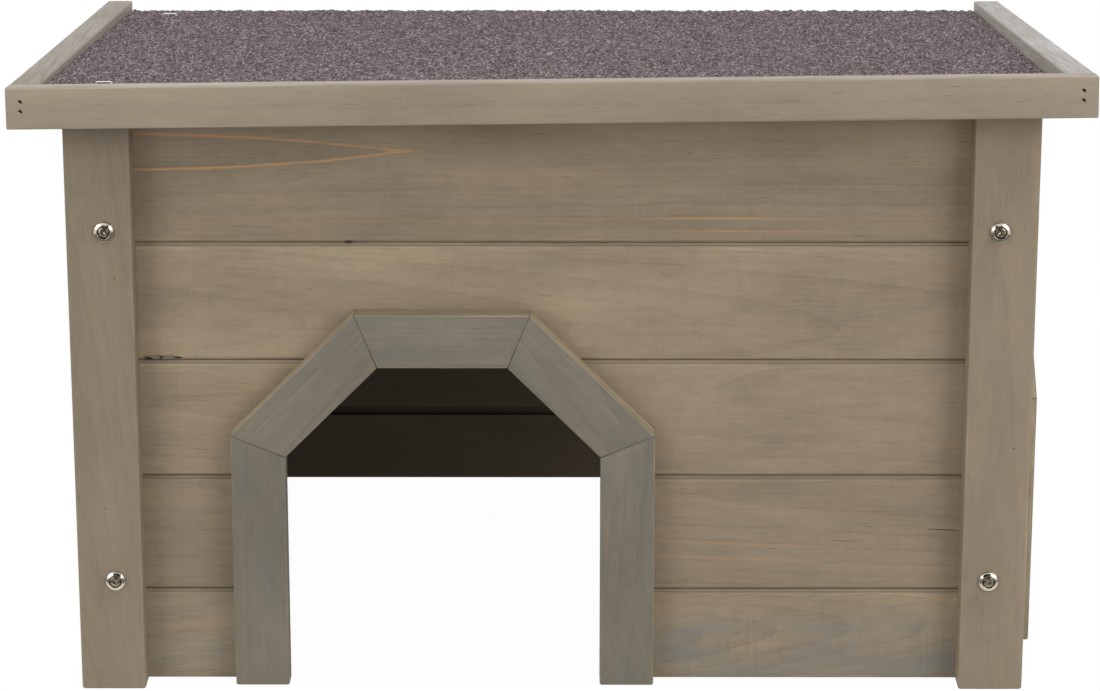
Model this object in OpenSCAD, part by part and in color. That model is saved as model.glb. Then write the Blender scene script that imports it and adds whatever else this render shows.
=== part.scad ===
// Small animal hideout: a house of grooved planks on four corner posts, with a
// framed entrance in the front wall and another in the right wall, and a felted
// roof that swings up on two hinges at the back. There is no floor.
// Millimetres. +X is to the right, +Y to the back, +Z up. The origin is on the
// ground below the middle of the roof.

/* [House] */
// Width over the corner posts
house_w = 560; // [420:1:800]
// Length of the side walls, between the front planks and the back planks
side_len = 379; // [320:1:520]
// Height of planks, battens and entrance frames above the ground
ground_gap = 1; // [0.5:0.1:4]

/* [Planks] */
// Thickness of the planks
plank_t = 12; // [10:0.5:18]
// Height from one plank joint to the next
plank_pitch = 71; // [62:0.5:90]
// Height of the lowest joint in the front and side walls
front_first_joint = 57; // [45:0.5:80]
// Height of the lowest joint in the back wall
back_first_joint = 50; // [45:0.5:80]
// Height of the top row of planks at the front of the house
top_plank_h = 81; // [70:0.5:120]
// Thickness of the tongues
tongue_t = 4; // [3:0.25:5]
// Height of the tongues
tongue_h = 6; // [4:0.5:9]
// Width of the V between planks on the outer face
vee_w = 3; // [1:0.25:4]
// Width of the open joint on the inner face
inner_joint_w = 6; // [1:0.5:8]

/* [Posts and battens] */
// Width of the corner posts
post_w = 38; // [34:0.5:60]
// Thickness of the corner posts
post_t = 18; // [15:0.5:24]
// Radius of the long edges of posts
post_ease = 3; // [1:0.25:5]
// Side of the square corner battens inside
batten_w = 20; // [16:0.5:30]

/* [Entrances] */
// Width of an entrance between the legs of its frame
entrance_w = 185; // [150:1:240]
// Height of an entrance under the head of its frame
entrance_h = 198; // [150:1:240]
// Drop of the sloping corners, at 45 degrees
entrance_corner = 54.5; // [30:0.5:70]
// Place of the front entrance's middle, from the middle of the house
front_entrance_x = -64; // [-90:1:90]
// Place of the side entrance's middle, from the middle of the side wall
side_entrance_x = -13; // [-40:1:40]
// Width of the frame members
frame_w = 32; // [24:0.5:40]
// Thickness of the frame members
frame_t = 14; // [12:0.5:17]
// Radius of the frame members' outer edges
frame_ease = 2.5; // [1:0.25:5]
// How far the planks are cut back behind the frame
frame_lap = 2; // [0:0.5:6]
// Height of a plank joint above the underside of the frame's head
head_lap = 1; // [0:0.5:4]

/* [Roof] */
// Fall of the roof to the back, in degrees
roof_slope = 5; // [3:0.5:7]
// How far the front trim stands out from the front posts
front_overhang = 27.6; // [20:0.2:50]
// How far the roof stands out on each side of the house
side_overhang = 27.6; // [20:0.2:50]
// How far the roof stands out behind the back posts
back_overhang = 12; // [10:0.2:12]
// Thickness of the roof board
board_t = 12; // [9:0.5:18]
// Thickness of the felt
felt_t = 3; // [2:0.25:5]
// Thickness of the roof trims
trim_t = 17; // [12:0.5:20]
// Height of the trims above the felt
trim_rise = 6; // [2:0.5:12]
// Depth of the trims below the roof board
trim_drop = 3; // [1:0.5:8]
// Radius of the trims' long edges
trim_ease = 2; // [1:0.25:4]
// How much higher the front trim's right end is than its left end
roof_skew = 7; // [0:0.5:10]

/* [Corner screws] */
// Length of a corner screw from the post's face
screw_len = 42; // [36:0.5:48]
// Radius of a corner screw
screw_r = 2; // [1.5:0.1:2.5]
// Radius of a corner screw's head
screw_head_r = 4; // [3.5:0.1:5]
// Height of the dome on a corner screw's head
screw_dome = 0.8; // [0.4:0.1:1.2]
// Radius of a cup washer
washer_r = 6; // [5.5:0.1:8]
// Height of a cup washer
washer_h = 2.5; // [2.5:0.1:4]
// Height of the lower screws above the ground
low_screw_z = 68.5; // [62:0.5:76]
// Depth of the upper screws below the roof board
high_screw_drop = 70; // [66:0.5:74]

/* [Brads] */
// Radius of the brads
brad_r = 0.7; // [0.5:0.05:1]
// Depth of a brad's point below the face it is driven into
brad_len = 24; // [22:0.5:25]
// Depth of a brad's head below that face
brad_sink = 0.8; // [0.2:0.1:2]
// Distance of the brads in a post from the post's outer edge
post_brad_in = 13; // [8:0.5:15]
// Distance of the brads in a batten from the batten's inner face
batten_brad_in = 5; // [4:0.5:6]
// Drop of the brads in the left posts below the next plank joint
left_brad_drop = 16; // [12:1:20]
// Drop of the brads in the right posts below the next plank joint
right_brad_drop = 42; // [36:1:44]
// Drop of the brads in the battens below the next plank joint
batten_brad_drop = 35; // [28:1:40]
// Depth of the upper brad of a pair below the trim's top
trim_brad_drop = 8; // [5:0.5:9]
// Distance between the two brads of a pair
trim_brad_pair = 5.5; // [4:0.5:8]
// Count of the brads along each side trim
side_trim_brads = 4; // [2:1:8]

/* [Hinges] */
// Width of a hinge
hinge_w = 30; // [24:0.5:33]
// Length of a hinge leaf from the pin's axis
leaf_len = 18; // [16:0.5:20]
// Thickness of a hinge leaf
leaf_t = 1.5; // [1:0.1:2]
// Radius of a hinge barrel
barrel_r = 3; // [2.5:0.1:4]
// Radius of a hinge pin
pin_r = 1.25; // [0.8:0.05:1.5]
// Radius of a hinge screw
hinge_screw_r = 1.4; // [1:0.1:1.6]
// Radius of a hinge screw's head
hinge_head_r = 2.6; // [2:0.1:3]
// Length of a hinge screw
hinge_screw_len = 9; // [6:0.5:10]
// Distance between a leaf's two screws
hinge_screw_span = 18; // [12:0.5:20]

/* [Clearances] */
// Gap between the walls and the closed roof
seat_gap = 0.3; // [0.2:0.05:0.6]
// Gap between two planks in a joint
joint_gap = 0.4; // [0.2:0.05:1]
// Gap on each side of a tongue
tongue_gap = 0.3; // [0.1:0.05:0.5]
// Gap round screws and brads in their holes
hole_gap = 0.02; // [0.01:0.01:0.05]
// Gap round a corner screw in the post, the plank and the washer
loose_gap = 0.15; // [0.1:0.05:0.3]
// Running gap round a hinge pin
pin_gap = 0.05; // [0.02:0.01:0.1]
// Gap between a hinge's moving pieces
hinge_gap = 0.3; // [0.2:0.05:0.5]
// Gap between the felt and the trims
felt_gap = 0.3; // [0.1:0.05:1]
// Gap between the front trim and the ends of the side trims
trim_gap = 0.3; // [0.25:0.05:0.6]

/* [Hidden] */
// Smoothness of round shapes
$fn = 48;
// Rows of planks in each wall, and the rows that an entrance cuts in two
rows = 5;
split_rows = 3;
// Length that cutting shapes run past what they cut
over = 1;

// Heights and depths of the whole house
wall_h = front_first_joint + (rows - 2) * plank_pitch + top_plank_h;
house_d = side_len + 2 * (plank_t + post_t);
roof_w = house_w + 2 * side_overhang;
far = house_w + house_d + wall_h;

// The roof in its own flat frame: y runs back from the posts' front face, z up
// from the board's underside
roof_front = -front_overhang;
board_front = roof_front + trim_t;
roof_back = (house_d + back_overhang) / cos(roof_slope);
board_w = roof_w - 2 * trim_t;
felt_top = board_t + felt_t;
trim_top = felt_top + trim_rise;
trim_h = trim_top + trim_drop;
trim_mid = trim_top - trim_h / 2;

// The front trim leans along x, and each side trim is tipped about its back end
// to meet it
front_lean = asin(roof_skew / roof_w);
side_tip = atan(roof_skew / 2 / (roof_back - roof_front));
function skew_z(x) = roof_skew * x / roof_w;

// Foremost and rearmost points of the roof, from the posts' front face
reach_front = (roof_front + trim_ease) * cos(roof_slope)
    + (trim_ease - trim_drop - roof_skew / 2) * sin(roof_slope) - trim_ease;
reach_back = (roof_back + trim_top * sin(side_tip)) * cos(roof_slope) + trim_top * sin(roof_slope);
front_y = -(reach_front + reach_back) / 2;
front_plank_y = front_y + post_t;
back_y = front_y + house_d;
back_plank_y = back_y - post_t;
side_mid_y = front_y + house_d / 2;

// Tongues, and the heights of the joints. In the front and side walls one joint lies
// just above the head of the entrances, and the rows from there down to the lowest
// joint share the height between them.
tongue_in = (plank_t - tongue_t) / 2;
split_pitch = (entrance_h + head_lap - front_first_joint) / (split_rows - 1);
front_joints = [
    for (n = [0 : rows - 2]) front_first_joint + n * (n < split_rows ? split_pitch : plank_pitch)
];
back_joints = [for (n = [0 : rows - 2]) back_first_joint + n * plank_pitch];
function row_low(joints, row) = row == 1 ? ground_gap : joints[row - 2] + joint_gap / 2;
function row_high(joints, row) = row == rows ? wall_h : joints[row - 1] - joint_gap / 2;
function roof_z(y) = wall_h - y * tan(roof_slope);

// Entrances
corner_step = tan(22.5);
entrance_half = entrance_w / 2;
elbow_z = entrance_h - entrance_corner;
head_half = entrance_half - entrance_corner;
brace_len = entrance_corner * sqrt(2);
frame_step = frame_w * corner_step;

// Corner screws and brads, each as [x, z] on its wall
screw_x = house_w / 2 - plank_t - batten_w / 2;
post_mid_x = house_w / 2 - post_w / 2;
post_brad_x = house_w / 2 - post_brad_in;
batten_mid_x = side_len / 2 - batten_w / 2;
batten_brad_x = side_len / 2 - batten_w + batten_brad_in;
washer_seat = 0.5;
washer_rim = 0.6;
washer_lip = 0.5;
cross_w = 0.9;
cross_len = 4.4;
cross_depth = 1.2;

function screw_places(wall_y) = [
    for (side = [-1, 1], z = [low_screw_z, roof_z(wall_y) - high_screw_drop]) [side * screw_x, z]
];
function brad_z(joints, row, drop, wall_y) =
    row < rows ? joints[row - 1] - drop : (joints[rows - 2] + roof_z(wall_y)) / 2;
function post_brads(joints, wall_y) = [
    for (side = [-1, 1], row = [1 : rows])
        [side * post_brad_x, brad_z(joints, row, side < 0 ? left_brad_drop : right_brad_drop, wall_y)]
];
function batten_brads(front_side) = [
    for (side = [-1, 1], row = [1 : rows])
        [side * batten_brad_x,
            brad_z(front_joints, row, batten_brad_drop, house_d / 2 + side * front_side * batten_brad_x)]
];

// A brad in each cut plank through the leg or the brace beside it, and two in the head
leg_mid_x = entrance_half + frame_w / 2;
function brace_mid_x(z) = entrance_half + elbow_z + frame_w / sqrt(2) - z;
function frame_row_z(row) = (row_low(front_joints, row) + row_high(front_joints, row)) / 2;
frame_brads_half = [
    [leg_mid_x, frame_row_z(1)],
    [leg_mid_x, frame_row_z(2)],
    [brace_mid_x(frame_row_z(3)), frame_row_z(3)],
    [head_half / 2, entrance_h + frame_w / 2],
];
function frame_brads(mid) = [
    for (side = [-1, 1], place = frame_brads_half) [mid + side * place[0], place[1]]
];
function near_row(places, joints, row) = [
    for (place = places)
        if (place[1] > row_low(joints, row) - plank_t && place[1] < row_high(joints, row) + plank_t) place
];

// Hinges
hinge_x = post_mid_x;
hinge_drop = barrel_r + hinge_gap;
hinge_y = back_y + hinge_drop;
hinge_z = roof_z(hinge_y - front_y) - hinge_drop / cos(roof_slope);
hinge_flat_y = (hinge_y - front_y) * cos(roof_slope) - (hinge_z - wall_h) * sin(roof_slope);
leaf_screw_mid = (leaf_len + hinge_drop) / 2;
knuckle_len = (hinge_w - 2 * hinge_gap) / 3;
head_sink = 0.1;

// Colours
plank_colour = "#8C806E";
post_colour = "#8A7F6E";
trim_colour = "#988D7A";
frame_colour = "#7B7869";
inside_colour = "#A08F76";
felt_colour = "#6B6064";
steel_colour = "#C9C7C0";
screw_colour = "#C2A56B";

// Each wall has its own frame: x to the right as seen from outside, y = 0 on the
// outer face of its planks and inwards from there, z up
module on_front() {
    translate([0, front_plank_y, 0]) children();
}

module on_back() {
    translate([0, back_plank_y, 0]) rotate([0, 0, 180]) children();
}

module on_right() {
    translate([house_w / 2, side_mid_y, 0]) rotate([0, 0, 90]) children();
}

module on_left() {
    translate([-house_w / 2, side_mid_y, 0]) rotate([0, 0, -90]) children();
}

// The roof's flat frame, tipped to its slope
module on_roof() {
    translate([0, front_y, wall_h]) rotate([-roof_slope, 0, 0]) children();
}

// Keeps what lies at least a gap below the roof board
module below_roof(gap) {
    intersection() {
        children();
        on_roof() translate([-far, -far, -far - gap]) cube([2 * far, 2 * far, far]);
    }
}

// A bar section with its two outer corners rounded: width along x, depth along y
module eased_section(width, depth, ease) {
    square([width, depth - ease]);
    translate([ease, 0]) square([width - 2 * ease, depth]);
    for (x = [ease, width - ease]) translate([x, depth - ease]) circle(ease);
}

// A bar section with all four corners rounded
module round_section(width, depth, ease) {
    translate([ease, 0]) square([width - 2 * ease, depth]);
    translate([0, ease]) square([width, depth - 2 * ease]);
    for (x = [ease, width - ease], y = [ease, depth - ease]) translate([x, y]) circle(ease);
}

// Holes along y from a face at y = 0 of a wall's frame, for places [x, z]
module holes(places, radius, depth) {
    for (place = places)
        translate([place[0], -over, place[1]]) rotate([-90, 0, 0]) cylinder(r = radius, h = depth + over);
}

module brads(places) {
    for (place = places)
        translate([place[0], brad_sink, place[1]])
            rotate([-90, 0, 0]) cylinder(r = brad_r, h = brad_len - brad_sink);
}

module brad_holes(places) {
    holes(places, brad_r + hole_gap, brad_len + hole_gap);
}

// Holes of a front or back wall, whose screws and brads start on the posts' face
module post_face() {
    translate([0, -post_t, 0]) children();
}

// The inner face of a wall, looked at from inside
module inner_face() {
    translate([0, plank_t, 0]) rotate([0, 0, 180]) children();
}

function turned(places) = [for (place = places) [-place[0], place[1]]];

module screw_holes(places) {
    post_face() holes(places, screw_r + loose_gap, post_t + plank_t);
}

// Section of a row's planks: [depth from the outer face, height]
function plank_section(joints, row) = concat(
    row == 1
        ? [[0, row_low(joints, row)], [plank_t, row_low(joints, row)]]
        : [
            [0, row_low(joints, row) + vee_w / 2],
            [vee_w / 2, row_low(joints, row)],
            [tongue_in - tongue_gap, row_low(joints, row)],
            [tongue_in - tongue_gap, row_low(joints, row) + tongue_h],
            [plank_t - tongue_in + tongue_gap, row_low(joints, row) + tongue_h],
            [plank_t - tongue_in + tongue_gap, row_low(joints, row) + inner_joint_w / 2],
            [plank_t, row_low(joints, row) + inner_joint_w / 2],
        ],
    row == rows
        ? [[plank_t, row_high(joints, row)], [0, row_high(joints, row)]]
        : [
            [plank_t, row_high(joints, row) - inner_joint_w / 2],
            [plank_t - tongue_in, row_high(joints, row) - inner_joint_w / 2],
            [plank_t - tongue_in, row_high(joints, row) + tongue_h],
            [tongue_in, row_high(joints, row) + tongue_h],
            [tongue_in, row_high(joints, row)],
            [vee_w / 2, row_high(joints, row)],
            [0, row_high(joints, row) - vee_w / 2],
        ]
);

module plank(joints, row, length) {
    translate([-length / 2, 0, 0])
        rotate([90, 0, 90]) linear_extrude(length) polygon(plank_section(joints, row));
}

// Outline of an entrance, moved outwards by a margin
function entrance_outline(margin) = [
    for (side = [1, -1], point = side > 0 ? [0, 1, 2] : [2, 1, 0])
        [side * [entrance_half + margin, entrance_half + margin, head_half + margin * corner_step][point],
            [-over, elbow_z + margin * corner_step, entrance_h + margin][point]]
];

module entrance_cut(mid) {
    translate([mid, plank_t + over, 0])
        rotate([90, 0, 0]) linear_extrude(plank_t + 2 * over) polygon(entrance_outline(frame_lap));
}

// The part of a wall on one side of an entrance's middle
module one_side(mid, side) {
    intersection() {
        children();
        translate([mid + (side < 0 ? -far : 0), -over, 0]) cube([far, plank_t + 2 * over, far]);
    }
}

// A plank in a wall with an entrance; side is -1 or 1 for a plank cut in two, 0 for a whole one
module entrance_plank(row, length, mid, side) {
    difference() {
        if (side == 0) plank(front_joints, row, length);
        else one_side(mid, side) plank(front_joints, row, length);
        entrance_cut(mid);
        inner_face() brad_holes(turned(near_row(frame_brads(mid), front_joints, row)));
    }
}

module front_plank(row, side) {
    color(plank_colour) below_roof(seat_gap) on_front() difference() {
        entrance_plank(row, house_w, front_entrance_x, side);
        screw_holes(near_row(screw_places(0), front_joints, row));
        post_face() brad_holes(near_row(post_brads(front_joints, 0), front_joints, row));
    }
}

module right_plank(row, side) {
    color(plank_colour) below_roof(seat_gap) on_right() difference() {
        entrance_plank(row, side_len, side_entrance_x, side);
        brad_holes(near_row(batten_brads(1), front_joints, row));
    }
}

module left_plank(row) {
    color(plank_colour) below_roof(seat_gap) on_left() difference() {
        plank(front_joints, row, side_len);
        brad_holes(near_row(batten_brads(-1), front_joints, row));
    }
}

module back_plank(row) {
    color(plank_colour) below_roof(seat_gap) on_back() difference() {
        plank(back_joints, row, house_w);
        screw_holes(near_row(screw_places(house_d), back_joints, row));
        post_face() brad_holes(near_row(post_brads(back_joints, house_d), back_joints, row));
    }
}

// A post on the outside of a front or back wall; side is -1 or 1
module post(side) {
    translate([side * post_mid_x - post_w / 2, 0, 0])
        mirror([0, 1, 0]) linear_extrude(wall_h) eased_section(post_w, post_t, post_ease);
}

module front_post(side) {
    color(post_colour) below_roof(seat_gap) on_front() difference() {
        post(side);
        screw_holes(screw_places(0));
        post_face() brad_holes(post_brads(front_joints, 0));
    }
}

// A back post, cut lower so that a hinge leaf lies between it and the roof board
module back_post(side) {
    color(post_colour) below_roof(leaf_t + seat_gap) difference() {
        on_back() difference() {
            post(-side);
            screw_holes(screw_places(house_d));
            post_face() brad_holes(post_brads(back_joints, house_d));
        }
        on_post_leaf(side) hinge_screw_holes();
    }
}

// A square batten inside a corner; end is -1 at the front and 1 at the back
module corner_batten(end, side) {
    color(inside_colour) below_roof(seat_gap) difference() {
        translate([side * screw_x - batten_w / 2, side_mid_y + end * batten_mid_x - batten_w / 2, ground_gap])
            cube([batten_w, batten_w, wall_h]);
        if (end < 0) on_front() post_face() holes(screw_places(0), screw_r + hole_gap, screw_len + hole_gap);
        if (end > 0) on_back() post_face() holes(screw_places(house_d), screw_r + hole_gap, screw_len + hole_gap);
        if (side < 0) on_left() brad_holes(batten_brads(-1));
        if (side > 0) on_right() brad_holes(batten_brads(1));
    }
}

// A frame member along x, its inner edge at y = 0 and its outer face at z = frame_t.
// The mitres lengthen its outer edge by the steps at its two ends.
module frame_member(length, first_step, last_step) {
    intersection() {
        linear_extrude(frame_t)
            polygon([[0, 0], [length, 0], [length + last_step, frame_w], [-first_step, frame_w]]);
        translate([-frame_w, 0, 0])
            rotate([90, 0, 90]) linear_extrude(length + 2 * frame_w) eased_section(frame_w, frame_t, frame_ease);
    }
}

// Places a member on a wall from its inner corner [x, z], rising at an angle
module rising(corner, angle) {
    translate([corner[0], 0, corner[1]]) rotate([0, -angle, 0]) rotate([90, 0, 0]) children();
}

module frame_leg() {
    rising([-entrance_half, ground_gap], 90) frame_member(elbow_z - ground_gap, 0, frame_step);
}

module frame_brace() {
    rising([-entrance_half, elbow_z], 45) frame_member(brace_len, frame_step, frame_step);
}

module frame_head() {
    rising([-head_half, entrance_h], 0) frame_member(2 * head_half, frame_step, frame_step);
}

// A finished member at an entrance's middle; side 1 mirrors it
module framed(mid, side) {
    color(frame_colour) difference() {
        translate([mid, 0, 0]) mirror([side > 0 ? 1 : 0, 0, 0]) children();
        inner_face() brad_holes(turned(frame_brads(mid)));
    }
}

// A corner screw with its head up and the post's face at z = 0
module corner_screw() {
    head_top = washer_seat + screw_head_r - screw_r;
    dome_r = (screw_head_r * screw_head_r + screw_dome * screw_dome) / (2 * screw_dome);
    difference() {
        union() {
            rotate_extrude() polygon([
                [0, -screw_len],
                [screw_r, -screw_len + 2 * screw_r],
                [screw_r, washer_seat],
                [screw_head_r, head_top],
                [0, head_top],
            ]);
            intersection() {
                translate([0, 0, head_top + screw_dome - dome_r]) sphere(dome_r);
                translate([0, 0, head_top]) cylinder(r = screw_head_r, h = screw_dome + over);
            }
        }
        for (turn = [45, 135])
            rotate([0, 0, turn])
                translate([-cross_len / 2, -cross_w / 2, head_top + screw_dome - cross_depth])
                    cube([cross_len, cross_w, cross_depth + over]);
    }
}

// A cup washer on the post's face at z = 0
module cup_washer() {
    seat_r = screw_r + loose_gap;
    lip_r = screw_head_r + loose_gap;
    rotate_extrude() polygon([
        [seat_r, 0],
        [washer_r, 0],
        [washer_r, washer_rim],
        [lip_r + washer_lip, washer_h],
        [lip_r, washer_h],
        [seat_r, washer_h - lip_r + seat_r],
    ]);
}

module at_screws(wall_y) {
    for (place = screw_places(wall_y))
        translate([place[0], -post_t, place[1]]) rotate([90, 0, 0]) children();
}

module corner_screws() {
    color(screw_colour) {
        on_front() at_screws(0) corner_screw();
        on_back() at_screws(house_d) corner_screw();
    }
}

module corner_washers() {
    color(steel_colour) {
        on_front() at_screws(0) cup_washer();
        on_back() at_screws(house_d) cup_washer();
    }
}

module panel_brads() {
    color(steel_colour) {
        on_front() {
            post_face() brads(post_brads(front_joints, 0));
            inner_face() brads(turned(frame_brads(front_entrance_x)));
        }
        on_right() {
            brads(batten_brads(1));
            inner_face() brads(turned(frame_brads(side_entrance_x)));
        }
        on_left() brads(batten_brads(-1));
        on_back() post_face() brads(post_brads(back_joints, house_d));
    }
}

// A hinge leaf's frame: the pin along x, the leaf away from it along -y, and the
// face that is screwed down at z = hinge_drop
module on_post_leaf(side) {
    translate([side * hinge_x, hinge_y, hinge_z]) rotate([90, 0, 0]) children();
}

module on_roof_leaf(side) {
    on_roof() translate([side * hinge_x, hinge_flat_y, -hinge_drop]) children();
}

module hinge_screw_holes() {
    for (x = [-1, 1] * hinge_screw_span / 2)
        translate([x, -leaf_screw_mid, hinge_drop])
            cylinder(r = hinge_screw_r + hole_gap, h = hinge_screw_len - leaf_t + hole_gap);
}

// Profile of a countersunk hinge screw, its head flush with the leaf at z = 0, grown by a gap
module hinge_screw(gap, length) {
    rotate_extrude() polygon([
        [0, head_sink - gap],
        [hinge_head_r + gap, head_sink - gap],
        [hinge_screw_r + gap, head_sink + hinge_head_r - hinge_screw_r],
        [hinge_screw_r + gap, length],
        [0, length],
    ]);
}

module at_hinge_screws() {
    for (x = [-1, 1] * hinge_screw_span / 2)
        translate([x, -leaf_screw_mid, hinge_drop - leaf_t]) children();
}

// A leaf whose knuckles stand at the given places along the pin
module hinge_leaf(knuckles) {
    plate_end = barrel_r + hinge_gap;
    color(steel_colour) difference() {
        union() {
            translate([-hinge_w / 2, -leaf_len, hinge_drop - leaf_t])
                cube([hinge_w, leaf_len - plate_end, leaf_t]);
            for (place = knuckles) translate([place - knuckle_len / 2, 0, 0]) {
                translate([0, -plate_end, hinge_drop - leaf_t])
                    cube([knuckle_len, plate_end, leaf_t - hinge_gap]);
                rotate([0, 90, 0]) cylinder(r = barrel_r, h = knuckle_len);
            }
        }
        translate([-hinge_w / 2 - over, 0, 0])
            rotate([0, 90, 0]) cylinder(r = pin_r + pin_gap, h = hinge_w + 2 * over);
        at_hinge_screws() {
            hinge_screw(hole_gap, leaf_t + over);
            translate([0, 0, -over]) cylinder(r = hinge_head_r + hole_gap, h = over + head_sink);
        }
    }
}

module hinge_post_leaf(side) {
    on_post_leaf(side) hinge_leaf([-1, 1] * (knuckle_len + hinge_gap));
}

module hinge_roof_leaf(side) {
    on_roof_leaf(side) hinge_leaf([0]);
}

module hinge_pins() {
    color(steel_colour) for (side = [-1, 1])
        translate([side * hinge_x - hinge_w / 2, hinge_y, hinge_z])
            rotate([0, 90, 0]) cylinder(r = pin_r, h = hinge_w);
}

module hinge_post_screws() {
    color(steel_colour) for (side = [-1, 1])
        on_post_leaf(side) at_hinge_screws() hinge_screw(0, hinge_screw_len);
}

module hinge_roof_screws() {
    color(steel_colour) for (side = [-1, 1])
        on_roof_leaf(side) at_hinge_screws() hinge_screw(0, hinge_screw_len);
}

// The roof, in its flat frame

// Brads through the front trim into the ends of the side trims, as [x, z]
front_trim_places = [
    for (side = [-1, 1], n = [0, 1])
        [side * (roof_w - trim_t) / 2,
            trim_top - trim_brad_drop - n * trim_brad_pair + skew_z(side * (roof_w - trim_t) / 2)]
];

// Brads through a side trim into the edge of the board, as [y, z]
side_trim_len = roof_back - board_front - trim_gap;
side_trim_places = [
    for (n = [1 : side_trim_brads]) [roof_back - (n - 0.5) * side_trim_len / side_trim_brads, board_t / 2]
];

// Puts y inwards from the outer face of a side trim, with x along it
module trim_face(side) {
    translate([side * roof_w / 2, 0, 0]) rotate([0, 0, 90]) mirror([0, side < 0 ? 1 : 0, 0]) children();
}

module front_face() {
    translate([0, roof_front, 0]) children();
}

module roof_board() {
    color(inside_colour) on_roof() difference() {
        translate([-board_w / 2, board_front, 0]) cube([board_w, roof_back - board_front, board_t]);
        for (side = [-1, 1]) {
            trim_face(side) brad_holes(side_trim_places);
            translate([side * hinge_x, hinge_flat_y, -hinge_drop]) hinge_screw_holes();
        }
    }
}

module roof_felt() {
    color(felt_colour) on_roof()
        translate([-board_w / 2 + felt_gap, board_front + felt_gap, board_t])
            cube([board_w - 2 * felt_gap, roof_back - board_front - felt_gap, felt_t]);
}

module roof_trim_front() {
    color(trim_colour) on_roof() difference() {
        translate([0, roof_front, trim_mid])
            rotate([0, -front_lean, 0])
                translate([-roof_w / 2, 0, -trim_h / 2])
                    rotate([90, 0, 90]) linear_extrude(roof_w) round_section(trim_t, trim_h, trim_ease);
        front_face() brad_holes(front_trim_places);
    }
}

module roof_trim_side(side) {
    color(trim_colour) on_roof() difference() {
        translate([side * (roof_w - trim_t) / 2 - trim_t / 2, roof_back, 0])
            rotate([-side * side_tip, 0, 0])
                translate([0, 0, -trim_drop])
                    rotate([90, 0, 0]) linear_extrude(side_trim_len) round_section(trim_t, trim_h, trim_ease);
        front_face() brad_holes(front_trim_places);
        trim_face(side) brad_holes(side_trim_places);
    }
}

module trim_brads() {
    color(steel_colour) on_roof() {
        front_face() brads(front_trim_places);
        for (side = [-1, 1]) trim_face(side) brads(side_trim_places);
    }
}

for (row = [1 : split_rows], side = [["left", -1], ["right", 1]])
    front_plank(row, side[1]);
for (row = [split_rows + 1 : rows])
    front_plank(row, 0);
for (row = [1 : split_rows], side = [["front", -1], ["back", 1]])
    right_plank(row, side[1]);
for (row = [split_rows + 1 : rows])
    right_plank(row, 0);
for (row = [1 : rows]) {
    left_plank(row);
    back_plank(row);
}
for (side = [["left", -1], ["right", 1]]) {
    front_post(side[1]);
    back_post(side[1]);
    corner_batten(-1, side[1]);
    corner_batten(1, side[1]);
    on_front() framed(front_entrance_x, side[1]) frame_leg();
    on_front() framed(front_entrance_x, side[1]) frame_brace();
    hinge_post_leaf(side[1]);
    hinge_roof_leaf(side[1]);
    roof_trim_side(side[1]);
}
for (side = [["front", -1], ["back", 1]]) {
    on_right() framed(side_entrance_x, side[1]) frame_leg();
    on_right() framed(side_entrance_x, side[1]) frame_brace();
}
on_front() framed(front_entrance_x, 0) frame_head();  // front_frame_head
on_right() framed(side_entrance_x, 0) frame_head();  // side_frame_head
corner_screws();
corner_washers();
panel_brads();
hinge_pins();
hinge_post_screws();
hinge_roof_screws();
roof_board();
roof_felt();
roof_trim_front();
trim_brads();
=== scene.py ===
"""Looks of the small animal hideout: stained boards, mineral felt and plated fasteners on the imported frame."""
import math
from functools import partial

import bpy
import bmesh
import numpy as np
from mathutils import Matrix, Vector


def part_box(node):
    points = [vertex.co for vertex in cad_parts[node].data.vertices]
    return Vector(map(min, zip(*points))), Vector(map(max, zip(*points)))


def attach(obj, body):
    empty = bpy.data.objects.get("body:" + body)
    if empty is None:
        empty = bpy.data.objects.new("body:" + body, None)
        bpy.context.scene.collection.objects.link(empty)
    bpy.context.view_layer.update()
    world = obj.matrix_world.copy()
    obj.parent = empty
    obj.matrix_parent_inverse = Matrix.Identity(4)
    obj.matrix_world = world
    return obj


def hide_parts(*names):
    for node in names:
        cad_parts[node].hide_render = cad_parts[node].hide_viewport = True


bl_info = {
    "name": "Small animal hideout",
    "version": (1, 0, 0),
    "blender": (4, 5, 0),
    "location": "View3D > Sidebar > Hideout",
    "description": "Dresses the hideout's frame with stained boards, felt, fasteners and a studio",
    "category": "Object",
}

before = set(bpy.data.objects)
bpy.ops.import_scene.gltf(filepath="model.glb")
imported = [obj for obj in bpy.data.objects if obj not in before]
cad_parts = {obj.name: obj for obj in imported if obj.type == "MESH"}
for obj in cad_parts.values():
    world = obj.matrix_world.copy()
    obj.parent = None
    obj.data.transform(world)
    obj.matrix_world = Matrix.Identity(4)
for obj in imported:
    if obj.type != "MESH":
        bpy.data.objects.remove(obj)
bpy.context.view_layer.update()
MM = 0.001
ROWS = 5
SPLIT_ROWS = 3
CORNERS = (("front", "left"), ("front", "right"), ("back", "left"), ("back", "right"))
MITRE = math.tan(math.radians(22.5))  # half of the frames' bends of 45 degrees


def linear(code):
    """An sRGB hex value as linear red, green and blue."""
    s = np.array([int(code[i:i + 2], 16) for i in (1, 3, 5)]) / 255
    return tuple(np.where(s <= 0.04045, s / 12.92, ((s + 0.055) / 1.055) ** 2.4))


def length(name, description, millimetres):
    """A length property with its default given in millimetres."""
    return bpy.props.FloatProperty(name=name, description=description, default=millimetres * MM, min=0.0,
                                   precision=5, unit="LENGTH")


def colour(name, description, code):
    """A colour property with its default given as an sRGB hex value."""
    return bpy.props.FloatVectorProperty(name=name, description=description, default=linear(code), size=3,
                                         min=0.0, max=1.0, subtype="COLOR")


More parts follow.
